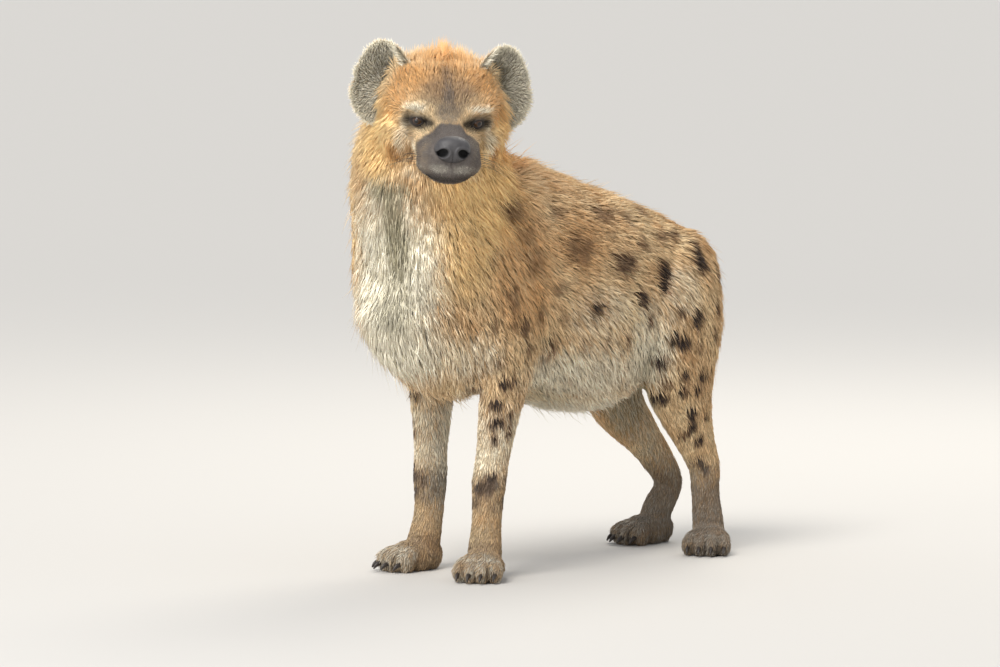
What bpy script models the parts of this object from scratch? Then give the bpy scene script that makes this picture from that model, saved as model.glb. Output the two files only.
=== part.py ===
# Spotted hyena, a still life-size model that stands on its four feet with its head turned to its left.
# Metres, +Z up. The animal faces -Y, and its left side is +X.
import math

import bmesh
import bpy
import numpy as np
from mathutils import Matrix, Vector
from mathutils.bvhtree import BVHTree

# Driving sizes: the coat's outer surface, from the feet up.
SHOULDER_HEIGHT = 0.80
GAP = 0.0003
BODY_VOXEL = 0.0060
FINE_VOXEL = 0.0032
RING_SIDES = 28
RINGS_PER_SPAN = 4

# The head turns this far to the left of the body, looks down and leans over.
HEAD_CENTRE = Vector((0.077, -0.378, 0.938))
HEAD_YAW = math.radians(52.5)
HEAD_PITCH = math.radians(14.0)
HEAD_ROLL = math.radians(3.0)

# Stations of each limb: centre x, y, z, half width, reach to the front or top, reach to the back or bottom.
TORSO = (
    (0.0, -0.440, 0.600, 0.050, 0.060, 0.080),
    (0.0, -0.422, 0.590, 0.100, 0.110, 0.140),
    (0.0, -0.380, 0.580, 0.132, 0.160, 0.195),
    (0.0, -0.300, 0.575, 0.152, 0.205, 0.230),
    (0.0, -0.200, 0.575, 0.158, 0.228, 0.230),
    (0.0, -0.100, 0.560, 0.158, 0.218, 0.230),
    (0.0, 0.000, 0.540, 0.156, 0.205, 0.240),
    (0.0, 0.080, 0.535, 0.152, 0.195, 0.238),
    (0.0, 0.160, 0.540, 0.144, 0.170, 0.212),
    (0.0, 0.230, 0.550, 0.136, 0.135, 0.170),
    (0.0, 0.300, 0.555, 0.120, 0.092, 0.130),
    (0.0, 0.345, 0.550, 0.095, 0.055, 0.095),
    (0.0, 0.375, 0.545, 0.050, 0.025, 0.050),
)
NECK = (
    (0.000, -0.200, 0.530, 0.135, 0.220, 0.150),
    (0.000, -0.255, 0.640, 0.150, 0.222, 0.150),
    (-0.004, -0.305, 0.730, 0.152, 0.190, 0.135),
    (0.020, -0.342, 0.815, 0.142, 0.155, 0.115),
    (0.054, -0.365, 0.885, 0.114, 0.108, 0.100),
    (0.070, -0.375, 0.925, 0.080, 0.075, 0.080),
)
TAIL = (
    (0.0, 0.300, 0.610, 0.030, 0.030, 0.030),
    (0.0, 0.355, 0.590, 0.026, 0.026, 0.026),
    (0.0, 0.388, 0.545, 0.022, 0.021, 0.021),
    (0.0, 0.398, 0.480, 0.024, 0.021, 0.021),
    (0.0, 0.396, 0.420, 0.030, 0.026, 0.026),
    (0.0, 0.392, 0.365, 0.024, 0.020, 0.020),
    (0.0, 0.388, 0.315, 0.008, 0.008, 0.008),
)
# The leg tables are the left one of each pair. A right leg mirrors it, moved by its own shifts below.
FORELEG = (
    (0.095, -0.270, 0.660, 0.050, 0.090, 0.090),
    (0.105, -0.275, 0.560, 0.060, 0.105, 0.110),
    (0.108, -0.255, 0.460, 0.056, 0.085, 0.095),
    (0.104, -0.240, 0.400, 0.047, 0.060, 0.066),
    (0.098, -0.248, 0.330, 0.038, 0.043, 0.046),
    (0.094, -0.262, 0.240, 0.031, 0.033, 0.035),
    (0.093, -0.272, 0.180, 0.031, 0.034, 0.034),
    (0.094, -0.278, 0.120, 0.028, 0.029, 0.029),
    (0.096, -0.284, 0.070, 0.031, 0.031, 0.030),
    (0.098, -0.288, 0.035, 0.034, 0.032, 0.030),
)
HINDLEG = (
    (0.072, 0.235, 0.610, 0.055, 0.080, 0.080),
    (0.090, 0.232, 0.545, 0.068, 0.120, 0.108),
    (0.098, 0.230, 0.460, 0.066, 0.120, 0.115),
    (0.098, 0.238, 0.370, 0.056, 0.092, 0.092),
    (0.094, 0.264, 0.290, 0.043, 0.064, 0.062),
    (0.090, 0.298, 0.220, 0.032, 0.042, 0.042),
    (0.090, 0.321, 0.172, 0.029, 0.034, 0.034),
    (0.091, 0.324, 0.120, 0.027, 0.029, 0.029),
    (0.094, 0.328, 0.070, 0.030, 0.031, 0.029),
    (0.097, 0.330, 0.035, 0.033, 0.032, 0.028),
)
# The head's own tables are in its own frame: it faces -y, and its left is +x.
CRANIUM = (
    (0.0, -0.134, -0.050, 0.034, 0.026, 0.045),
    (0.0, -0.124, -0.048, 0.062, 0.040, 0.060),
    (0.0, -0.105, -0.043, 0.082, 0.047, 0.072),
    (0.0, -0.080, -0.038, 0.098, 0.062, 0.082),
    (0.0, -0.045, -0.036, 0.111, 0.082, 0.090),
    (0.0, -0.005, -0.036, 0.115, 0.094, 0.090),
    (0.0, 0.040, -0.040, 0.106, 0.088, 0.086),
    (0.0, 0.078, -0.045, 0.082, 0.062, 0.066),
)
MUZZLE = (
    (0.0, -0.240, -0.080, 0.030, 0.028, 0.022),
    (0.0, -0.232, -0.081, 0.043, 0.036, 0.032),
    (0.0, -0.212, -0.082, 0.053, 0.040, 0.038),
    (0.0, -0.180, -0.080, 0.058, 0.040, 0.044),
    (0.0, -0.145, -0.074, 0.060, 0.036, 0.050),
    (0.0, -0.110, -0.066, 0.066, 0.030, 0.056),
)
BRIDGE = (
    (0.0, -0.226, -0.058, 0.026, 0.022, 0.020),
    (0.0, -0.200, -0.056, 0.032, 0.025, 0.020),
    (0.0, -0.165, -0.054, 0.034, 0.026, 0.020),
    (0.0, -0.130, -0.050, 0.038, 0.032, 0.020),
    (0.0, -0.100, -0.045, 0.048, 0.044, 0.020),
    (0.0, -0.070, -0.040, 0.060, 0.062, 0.030),
)
JAW = (
    (0.0, -0.222, -0.112, 0.024, 0.014, 0.012),
    (0.0, -0.208, -0.112, 0.036, 0.016, 0.018),
    (0.0, -0.180, -0.110, 0.044, 0.018, 0.022),
    (0.0, -0.140, -0.104, 0.050, 0.020, 0.030),
    (0.0, -0.100, -0.095, 0.058, 0.020, 0.040),
)
# Paws: the palm's middle ahead of the leg's end, and four toes fanned in front of it.
PAW_TOES = 4
PAW_WIDTH = 0.098
PAW_LENGTH = 0.104
TOE_RADIUS = 0.0145
EYE_RADIUS = 0.0130
EYE_PLACE = Vector((0.0536, -0.1180, -0.0350))


def clear_scene():
    for obj in list(bpy.data.objects):
        bpy.data.objects.remove(obj)


def shown_objects():
    return bpy.context.scene.collection


def add_object(name, mesh, collection=None):
    obj = bpy.data.objects.new(name, mesh)
    (collection or shown_objects()).objects.link(obj)
    return obj


def mesh_from(bm, name):
    bmesh.ops.recalc_face_normals(bm, faces=bm.faces)
    mesh = bpy.data.meshes.new(name)
    bm.to_mesh(mesh)
    bm.free()
    return mesh


def apply_modifiers(obj):
    bpy.context.view_layer.update()
    graph = bpy.context.evaluated_depsgraph_get()
    mesh = bpy.data.meshes.new_from_object(obj.evaluated_get(graph))
    obj.modifiers.clear()
    obj.data = mesh
    return obj


def between(rows, steps):
    """Rows of numbers read from a smooth curve through the given ones."""
    rows = np.array(rows, float)
    padded = np.vstack([2 * rows[0] - rows[1], rows, 2 * rows[-1] - rows[-2]])
    found = []
    for i in range(1, len(rows)):
        a, b, c, d = padded[i - 1 : i + 3]
        for t in np.arange(steps) / steps:
            bend = 2 * a - 5 * b + 4 * c - d
            twist = 3 * b - a - 3 * c + d
            found.append(0.5 * (2 * b + (c - a) * t + bend * t * t + twist * t ** 3))
    return np.vstack([found, rows[-1]])


def loft(name, stations, up_hint, fullness=2.2, sides=RING_SIDES, steps=RINGS_PER_SPAN, place=None):
    """A closed tube of rounded sections. fullness 2 is an ellipse, and more is squarer."""
    rows = between(stations, steps)
    centres = rows[:, :3]
    tangents = np.gradient(centres, axis=0)
    bm = bmesh.new()
    rings = []
    for row, centre, tangent in zip(rows, centres, tangents):
        along = Vector(tangent).normalized()
        up = Vector(up_hint) - Vector(up_hint).dot(along) * along
        up.normalize()
        side = along.cross(up)
        ring = []
        for k in range(sides):
            angle = 2 * math.pi * k / sides
            c, s = math.cos(angle), math.sin(angle)
            c = math.copysign(abs(c) ** (2 / fullness), c)
            s = math.copysign(abs(s) ** (2 / fullness), s)
            reach = row[4] if s > 0 else row[5]
            ring.append(bm.verts.new(Vector(centre) + side * c * row[3] + up * s * reach))
        rings.append(ring)
    for first, second in zip(rings, rings[1:]):
        for k in range(sides):
            n = (k + 1) % sides
            bm.faces.new((first[k], first[n], second[n], second[k]))
    bm.faces.new(rings[0][::-1])
    bm.faces.new(rings[-1])
    if place is not None:
        bmesh.ops.transform(bm, matrix=place, verts=bm.verts)
    return add_object(name, mesh_from(bm, name))


def ellipsoid(name, centre, radii, turn=None, place=None, segments=20, rings=12):
    bm = bmesh.new()
    bmesh.ops.create_uvsphere(bm, u_segments=segments, v_segments=rings, radius=1.0)
    matrix = Matrix.Translation(centre) @ (turn or Matrix()) @ Matrix.Diagonal((*radii, 1.0))
    if place is not None:
        matrix = place @ matrix
    bmesh.ops.transform(bm, matrix=matrix, verts=bm.verts)
    return add_object(name, mesh_from(bm, name))


def joined(name, pieces, keep=False):
    bm = bmesh.new()
    for piece in pieces:
        bm.from_mesh(piece.data)
        if not keep:
            bpy.data.objects.remove(piece)
    mesh = bpy.data.meshes.new(name)
    bm.to_mesh(mesh)
    bm.free()
    return add_object(name, mesh)


def fused(name, pieces, voxel, rounds, keep=False):
    """One smooth closed skin round overlapping pieces."""
    obj = joined(name, pieces, keep)
    remesh = obj.modifiers.new("skin", "REMESH")
    remesh.mode = "VOXEL"
    remesh.voxel_size = voxel
    smooth = obj.modifiers.new("smooth", "SMOOTH")
    smooth.factor = 0.5
    smooth.iterations = rounds
    return apply_modifiers(obj)


def triangle_count(obj):
    return sum(len(p.vertices) - 2 for p in obj.data.polygons)


def thinned(obj, triangles):
    decimate = obj.modifiers.new("thin", "DECIMATE")
    decimate.ratio = min(1.0, triangles / triangle_count(obj))
    decimate.use_collapse_triangulate = True
    return apply_modifiers(obj)


def boolean(obj, other, operation, solver="EXACT", keep=False):
    step = obj.modifiers.new(operation.lower(), "BOOLEAN")
    step.operation = operation
    step.solver = solver
    step.object = other
    apply_modifiers(obj)
    if not keep:
        bpy.data.objects.remove(other)
    return obj


def largest_surface(obj):
    """Drops every loose piece but the one with most faces."""
    bm = bmesh.new()
    bm.from_mesh(obj.data)
    bmesh.ops.remove_doubles(bm, verts=bm.verts, dist=0.00002)
    bmesh.ops.dissolve_degenerate(bm, edges=bm.edges, dist=0.00002)
    left = set(bm.faces)
    groups = []
    while left:
        group, queue = set(), [left.pop()]
        while queue:
            face = queue.pop()
            group.add(face)
            for edge in face.edges:
                if len(edge.link_faces) != 2:
                    continue
                for other in edge.link_faces:
                    if other in left:
                        left.discard(other)
                        queue.append(other)
        groups.append(group)
    groups.sort(key=lambda g: sum(f.calc_area() for f in g))
    for group in groups[:-1]:
        bmesh.ops.delete(bm, geom=list(group), context="FACES")
    bmesh.ops.triangulate(bm, faces=bm.faces)
    bm.to_mesh(obj.data)
    bm.free()
    return obj


def grown_copy(obj, by, name="grown"):
    """The same skin moved outwards, as a cutter that leaves a gap."""
    mesh = obj.data.copy()
    normals = np.array([v.normal for v in mesh.vertices])
    points = np.array([v.co for v in mesh.vertices]) + normals * by
    mesh.vertices.foreach_set("co", points.ravel())
    mesh.update()
    return add_object(name, mesh)


def copied(obj, name):
    return add_object(name, obj.data.copy())


def half_space(name, point, normal, size=1.6):
    """A big box on the side of a plane that its normal points to."""
    bm = bmesh.new()
    bmesh.ops.create_cube(bm, size=size)
    turn = Vector(normal).to_track_quat("Z", "Y").to_matrix().to_4x4()
    matrix = Matrix.Translation(point) @ turn @ Matrix.Translation((0, 0, size / 2))
    bmesh.ops.transform(bm, matrix=matrix, verts=bm.verts)
    return add_object(name, mesh_from(bm, name))


def side_region(name, outline, inner, outer, grow):
    """A leg's share of the body: an outline in side view, given as y, z points, from one x to another."""
    rows = between([*outline, outline[0]], 3)[:-1]
    middle = rows.mean(axis=0)
    ahead = np.roll(rows, -1, axis=0) - np.roll(rows, 1, axis=0)
    out = np.stack([ahead[:, 1], -ahead[:, 0]], 1)
    out /= np.linalg.norm(out, axis=1)[:, None]
    if ((rows - middle) * out).sum() < 0:
        out = -out
    rows = rows + out * grow
    low, high = min(inner, outer), max(inner, outer)
    bm = bmesh.new()
    face = bm.faces.new([bm.verts.new((low - grow, y, z)) for y, z in rows])
    made = bmesh.ops.extrude_face_region(bm, geom=[face])
    moved = [v for v in made["geom"] if isinstance(v, bmesh.types.BMVert)]
    bmesh.ops.translate(bm, vec=(high - low + 2 * grow, 0, 0), verts=moved)
    return add_object(name, mesh_from(bm, name))


HEAD_MATRIX = (
    Matrix.Translation(HEAD_CENTRE)
    @ Matrix.Rotation(HEAD_YAW, 4, "Z")
    @ Matrix.Rotation(HEAD_PITCH, 4, "X")
    @ Matrix.Rotation(HEAD_ROLL, 4, "Y")
)

FORE_RIGHT_SHIFTS = (0.0, 0.0, 0.0, 0.0, 0.005, 0.014, 0.022, 0.026, 0.024, 0.020)
HIND_RIGHT_SHIFTS = (0.0, 0.0, 0.0, 0.0, 0.0, 0.028, 0.050, 0.082, 0.052, 0.040)
PAW_TURNS = {
    "forepaw_left": math.radians(34),
    "forepaw_right": math.radians(8),
    "hindpaw_left": math.radians(38),
    "hindpaw_right": math.radians(6),
}
PAW_TOP = 0.078
ELBOW_HEIGHT = 0.335
KNEE_HEIGHT = 0.290
SHOULDER_OUTLINE = (
    (-0.352, 0.580), (-0.300, 0.680), (-0.215, 0.725), (-0.150, 0.640),
    (-0.150, 0.500), (-0.160, 0.400), (-0.140, 0.200), (-0.150, -0.02),
    (-0.300, -0.03), (-0.450, -0.02), (-0.440, 0.120), (-0.370, 0.300), (-0.372, 0.460),
)
THIGH_OUTLINE = (
    (0.115, 0.560), (0.165, 0.650), (0.245, 0.690), (0.345, 0.640), (0.420, 0.500),
    (0.470, 0.300), (0.480, 0.100), (0.450, -0.02), (0.300, -0.03), (0.170, -0.02),
    (0.140, 0.120), (0.110, 0.300), (0.095, 0.440),
)
LEG_INNER = 0.035
LEG_OUTER = 0.300
NECK_PLANE = (Vector((0.0, -0.330, 0.660)), Vector((0.0, -0.80, 0.60)))
NAPE = Vector((0.0, 0.085, 0.030))
THROAT = Vector((0.0, -0.070, -0.135))
TAIL_SPLIT = 0.440
BODY_TRIANGLES = 3300
HEAD_TRIANGLES = 1400
PAW_TRIANGLES = 420
EAR_PLACE = (0.117, 0.000, 0.000)
EAR_OUTWARD = math.radians(16)
EAR_TILT = 0
# Reach of the ear's edge from its middle: outwards first, then round over the top and back.
EAR_REACH = (0.051, 0.058, 0.080, 0.068, 0.060, 0.062, 0.081, 0.069)
EAR_DEPTH = 0.036
EYE_OUTWARD = math.radians(24)
EYE_SLANT = math.radians(8)
NOSE_PLACE = Vector((0, -0.2300, -0.0570))
NOSE_RADII = (0.0345, 0.0225, 0.0260)
NOSTRIL_ASIDE = 0.0200
NOSTRIL_RADII = (0.0100, 0.0110, 0.0092)
# The mouth, from its middle to its left corner, and the crease under the nose, as x and z of the head.
MOUTH_LINE = ((0.0, -0.102), (0.022, -0.110), (0.038, -0.111), (0.052, -0.1085), (0.060, -0.104))
PHILTRUM = ((0.0, -0.078), (0.0, -0.090), (0.0, -0.104))
CREASE_RADIUS = 0.0024
# Locks, by node: roots spread over a patch, each row of it as
# (centre, direction out to the skin, how far the directions fan out, count, lie, length, width, stand).
LOCK_THICKNESS = 0.0046
LOCK_SINK = 0.009
LOCK_JITTER = 0.18
LOCK_SEED = 11
MATERIALS = {
    "head": ((0.36, 0.23, 0.13), 0.85),
    "neck": ((0.48, 0.33, 0.18), 0.90),
    "torso": ((0.46, 0.32, 0.18), 0.90),
    "ear": ((0.30, 0.27, 0.22), 0.85),
    "eye": ((0.020, 0.010, 0.006), 0.15),
    "nose": ((0.030, 0.028, 0.030), 0.45),
    "foreclaw": ((0.035, 0.030, 0.026), 0.40),
    "hindclaw": ((0.035, 0.030, 0.026), 0.40),
    "tail_dock": ((0.30, 0.20, 0.11), 0.90),
    "tail_brush": ((0.030, 0.022, 0.018), 0.90),
    "shoulder": ((0.44, 0.29, 0.15), 0.90),
    "thigh": ((0.40, 0.29, 0.18), 0.90),
    "forearm": ((0.26, 0.19, 0.12), 0.90),
    "shank": ((0.22, 0.17, 0.12), 0.90),
    "": ((0.13, 0.10, 0.08), 0.90),
}


def mirrored(stations, shifts=None):
    shifts = shifts or [0.0] * len(stations)
    return [(-x, y + s, z, w, a, b) for (x, y, z, w, a, b), s in zip(stations, shifts)]


def leg_rows(kind, side):
    if kind == "fore":
        return list(FORELEG) if side == "left" else mirrored(FORELEG, FORE_RIGHT_SHIFTS)
    return list(HINDLEG) if side == "left" else mirrored(HINDLEG, HIND_RIGHT_SHIFTS)


def body_pieces():
    pieces = [
        loft("torso_form", TORSO, (0, 0, 1), 2.25),
        loft("neck_form", NECK, (0, -1, 0), 2.1),
    ]
    for kind in ("fore", "hind"):
        for side in ("left", "right"):
            pieces.append(loft(f"{kind}leg_{side}_form", leg_rows(kind, side), (0, -1, 0), 2.1))
    for s in (1, -1):
        # shoulder blade, upper arm, haunch and the point of the hip
        pieces.append(ellipsoid("blade", Vector((s * 0.085, -0.205, 0.655)), (0.062, 0.085, 0.125),
                                Matrix.Rotation(math.radians(-18), 4, "X")))
        pieces.append(ellipsoid("arm", Vector((s * 0.108, -0.300, 0.540)), (0.055, 0.085, 0.120),
                                Matrix.Rotation(math.radians(20), 4, "X")))
        pieces.append(ellipsoid("breast", Vector((s * 0.035, -0.330, 0.590)), (0.112, 0.114, 0.130)))
        pieces.append(ellipsoid("haunch", Vector((s * 0.080, 0.238, 0.545)), (0.066, 0.118, 0.105)))
    return pieces


def head_pieces():
    pieces = []
    for name, rows in (("cranium", CRANIUM), ("muzzle", MUZZLE), ("bridge", BRIDGE), ("jaw", JAW)):
        pieces.append(loft(name, rows, (0, 0, 1), 2.3, place=HEAD_MATRIX))
    for s in (1, -1):
        parts = (
            ("cheek", (0.075, -0.045, -0.075), (0.042, 0.060, 0.055), 0, 0),
            ("brow", (0.053, -0.112, -0.013), (0.029, 0.018, 0.011), -20, 14),
            ("lids", EYE_PLACE, [EYE_RADIUS * 1.20] * 3, 0, 0),
            ("lip_pad", (0.033, -0.193, -0.093), (0.027, 0.040, 0.021), 0, 0),
            ("ear_root", (0.080, 0.010, 0.012), (0.024, 0.024, 0.040), 0, 0),
        )
        for name, centre, radii, nod, lean in parts:
            turn = Matrix.Rotation(math.radians(nod), 4, "X") @ Matrix.Rotation(math.radians(s * lean), 4, "Y")
            place = Vector((s * centre[0], centre[1], centre[2]))
            pieces.append(ellipsoid(name, place, radii, turn, HEAD_MATRIX))
    return pieces


def toe_places():
    """Each toe's sideways share of the paw, and how far ahead it reaches."""
    for k in range(PAW_TOES):
        share = k / (PAW_TOES - 1) * 2 - 1
        yield k + 1, share, 1.0 - 0.22 * share * share


def paw_place(name, rows):
    x, y = rows[-1][:2]
    turn = PAW_TURNS[name] * (1 if x > 0 else -1)
    return Matrix.Translation((x, y, 0)) @ Matrix.Rotation(turn, 4, "Z")


def toe_front(ahead):
    return -0.022 - PAW_LENGTH * 0.62 * ahead


def paw_pieces(place):
    half = PAW_WIDTH / 2
    palm = (half * 0.86, PAW_LENGTH * 0.42, 0.034)
    pieces = [
        ellipsoid("palm", Vector((0, -0.022, 0.026)), palm, place=place),
        ellipsoid("heel", Vector((0, 0.012, 0.030)), (half * 0.62, 0.030, 0.036), place=place),
    ]
    for k, share, ahead in toe_places():
        wide = share * (half - TOE_RADIUS)
        front = toe_front(ahead)
        stations = (
            (wide * 0.60, -0.010, 0.032, 0.011, 0.014, 0.014),
            (wide * 0.78, front * 0.55, 0.034, TOE_RADIUS, 0.015, 0.020),
            (wide * 0.94, front * 0.82, 0.024, TOE_RADIUS * 1.06, 0.018, 0.026),
            (wide * 1.00, front * 0.97, 0.016, TOE_RADIUS * 0.94, 0.016, 0.019),
            (wide * 1.02, front * 1.04, 0.013, TOE_RADIUS * 0.60, 0.010, 0.012),
        )
        pieces.append(loft(f"toe_{k}", stations, (0, 0, 1), 2.0, 14, 3, place))
    return pieces


def claw(name, place, share, ahead):
    wide = share * (PAW_WIDTH / 2 - TOE_RADIUS) * 1.03
    front = toe_front(ahead)
    stations = (
        (wide, front * 0.98, 0.0165, 0.0042, 0.0048, 0.0048),
        (wide, front - 0.0080, 0.0165, 0.0040, 0.0046, 0.0046),
        (wide, front - 0.0150, 0.0125, 0.0030, 0.0036, 0.0036),
        (wide, front - 0.0200, 0.0062, 0.0010, 0.0014, 0.0014),
    )
    return loft(name, stations, (0, 0, 1), 2.0, 5, 1, place)


def ear(name, side):
    """A bowl: its hollow lies towards the head, low down, and its back runs down to the root."""
    place = HEAD_MATRIX @ Matrix.Translation((side * EAR_PLACE[0], EAR_PLACE[1], EAR_PLACE[2]))
    facing = Vector((side * math.sin(EAR_OUTWARD), -math.cos(EAR_OUTWARD), 0.10)).normalized()
    outward = Vector((side, 0, 0)) - facing * facing.x * side
    outward.normalize()
    up = outward.cross(facing) * -side
    up.normalize()
    tilt = math.radians(EAR_TILT)
    reach = between([(r,) for r in (*EAR_REACH, EAR_REACH[0])], 2)[:-1, 0]
    count = len(reach)
    bm = bmesh.new()

    def ring(share, depth, shrink):
        made = []
        for k in range(count):
            angle = 2 * math.pi * k / count + tilt
            r = (reach[k] - shrink) * share
            aside, rise = math.cos(angle) * r, math.sin(angle) * r
            hollow = (1 - share) * 0.30
            aside -= hollow * 0.055
            rise -= hollow * 0.040
            made.append(bm.verts.new(place @ (outward * aside + up * rise + facing * depth)))
        return made

    front = [(s, -EAR_DEPTH * (1 - s ** 2.4), 0.0020) for s in (0.20, 0.45, 0.70, 0.90, 1.0)]
    back = [(s, -EAR_DEPTH * (1 - s ** 2.0) * 1.20 - 0.0065, 0.0) for s in (1.0, 0.80, 0.52, 0.22)]
    rings = [ring(*row) for row in front] + [ring(1.0, -0.0018, -0.0012)] + [ring(*row) for row in back]
    for first, second in zip(rings, rings[1:]):
        for k in range(count):
            n = (k + 1) % count
            bm.faces.new((first[k], first[n], second[n], second[k]))
    bm.faces.new(rings[0][::-1])
    bm.faces.new(rings[-1])
    return add_object(name, mesh_from(bm, name))


def surface_point(tree, x, z, out=0.0, start=-0.40):
    """Where a line from in front of the face, at this x and z of the head, meets its skin."""
    origin = HEAD_MATRIX @ Vector((x, start, z))
    ahead = (HEAD_MATRIX.to_3x3() @ Vector((0, 1, 0))).normalized()
    hit = tree.ray_cast(origin, ahead)[0]
    return HEAD_MATRIX.inverted() @ hit - Vector((0, out, 0))


def groove(name, tree, line, radius):
    """A tube whose middle runs on the skin, to cut a crease."""
    points = [surface_point(tree, x, z) for x, z in line]
    rows = [(*p, radius, radius, radius) for p in points]
    return loft(name, rows, (0.02, -0.3, 1), 2.0, 5, 1, HEAD_MATRIX)


def kept_part(skin, name, planes, region=None):
    """The piece of a skin behind each plane, given as a point and the normal of the side thrown away."""
    piece = copied(skin, name)
    if region is not None:
        boolean(piece, region, "INTERSECT")
    for point, normal in planes:
        boolean(piece, half_space("cutter", point, normal), "DIFFERENCE")
    return largest_surface(piece)


def level(height, up):
    """A level plane. up is 1 to throw away what is over it, or -1 for what is under it."""
    return Vector((0, 0, height)), Vector((0, 0, up))


def head_plane():
    along = (THROAT - NAPE).normalized()
    normal = Vector((1, 0, 0)).cross(along)
    if normal.y > 0:
        normal = -normal
    return HEAD_MATRIX @ NAPE, (HEAD_MATRIX.to_3x3() @ normal).normalized()


def build_head():
    skin = fused("head_skin", head_pieces() + [loft("neck_form", NECK, (0, -1, 0), 2.1)], FINE_VOXEL, 9)
    point, normal = head_plane()
    head = kept_part(skin, "head", [(point + normal * GAP / 2, -normal)])
    bpy.data.objects.remove(skin)
    thinned(head, HEAD_TRIANGLES)
    tree = BVHTree.FromObject(head, bpy.context.evaluated_depsgraph_get())
    cuts = []
    for line in (MOUTH_LINE, [(-x, z) for x, z in MOUTH_LINE], PHILTRUM):
        cuts.append(groove("crease", tree, line, CREASE_RADIUS))
    nose_cut = ellipsoid("nose_cut", NOSE_PLACE, [r + GAP for r in NOSE_RADII], Matrix(), HEAD_MATRIX, 16, 9)
    cuts.append(nose_cut)
    for s in (1, -1):
        place = Vector((s * EYE_PLACE.x, EYE_PLACE.y, EYE_PLACE.z))
        cuts.append(ellipsoid("socket", place, [EYE_RADIUS + GAP] * 3, None, HEAD_MATRIX, 12, 7))
        turn = Matrix.Rotation(s * EYE_OUTWARD, 4, "Z") @ Matrix.Rotation(-s * EYE_SLANT, 4, "Y")
        ahead = turn @ Vector((0, -EYE_RADIUS * 0.9, 0))
        opening = (EYE_RADIUS * 0.98, EYE_RADIUS * 0.85, EYE_RADIUS * 0.52)
        cuts.append(ellipsoid("opening", place + ahead, opening, turn, HEAD_MATRIX, 12, 6))
    for cut in cuts:
        boolean(head, cut, "DIFFERENCE")
    return largest_surface(head)


def build_nose():
    nose = ellipsoid("nose", NOSE_PLACE, NOSE_RADII, Matrix(), HEAD_MATRIX, 16, 9)
    for s in (1, -1):
        turn = Matrix.Rotation(s * math.radians(30), 4, "Z")
        place = NOSE_PLACE + Vector((s * NOSTRIL_ASIDE, -NOSE_RADII[1] * 0.95, -0.002))
        cut = ellipsoid("nostril", place, NOSTRIL_RADII, turn, HEAD_MATRIX, 10, 6)
        boolean(nose, cut, "DIFFERENCE")
    notch = ellipsoid("notch", NOSE_PLACE + Vector((0, -NOSE_RADII[1] * 1.02, -0.012)), (0.0018, 0.006, 0.018),
                      None, HEAD_MATRIX, 6, 6)
    boolean(nose, notch, "DIFFERENCE")
    return largest_surface(nose)


def build_leg(kind, side, skin, made):
    s = 1 if side == "left" else -1
    outline = SHOULDER_OUTLINE if kind == "fore" else THIGH_OUTLINE
    upper, lower, joint = ("shoulder", "forearm", ELBOW_HEIGHT) if kind == "fore" else ("thigh", "shank", KNEE_HEIGHT)
    region = side_region("region", outline, s * LEG_INNER, s * LEG_OUTER, 0.0)
    whole = kept_part(skin, "whole", [level(PAW_TOP + GAP, -1)], region)
    made[f"{upper}_{side}"] = kept_part(whole, f"{upper}_{side}", [level(joint + GAP, -1)])
    made[f"{lower}_{side}"] = kept_part(whole, f"{lower}_{side}", [level(joint, 1)])
    bpy.data.objects.remove(whole)

    name = f"{kind}paw_{side}"
    rows = leg_rows(kind, side)
    place = paw_place(name, rows)
    paw_skin = fused("paw_skin", paw_pieces(place) + [loft("end", rows[-4:], (0, -1, 0), 2.1)], FINE_VOXEL, 3)
    thinned(paw_skin, PAW_TRIANGLES)
    paw = kept_part(paw_skin, name, [level(PAW_TOP, 1), level(0.0, -1)])
    bpy.data.objects.remove(paw_skin)
    made[name] = paw
    cutter = grown_copy(paw, GAP)
    for k, share, ahead in toe_places():
        nail = claw(f"{kind}claw_{side}_{k}", place, share, ahead)
        boolean(nail, cutter, "DIFFERENCE", keep=True)
        made[nail.name] = largest_surface(nail)
    bpy.data.objects.remove(cutter)


def build_tail(skin, made):
    whole = loft("tail_whole", TAIL, (0, 1, 0), 2.0, 12, 2)
    cutter = grown_copy(skin, GAP)
    boolean(whole, cutter, "DIFFERENCE")
    largest_surface(whole)
    made["tail_dock"] = kept_part(whole, "tail_dock", [level(TAIL_SPLIT + GAP, -1)])
    made["tail_brush"] = kept_part(whole, "tail_brush", [level(TAIL_SPLIT, 1)])
    bpy.data.objects.remove(whole)


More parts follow.
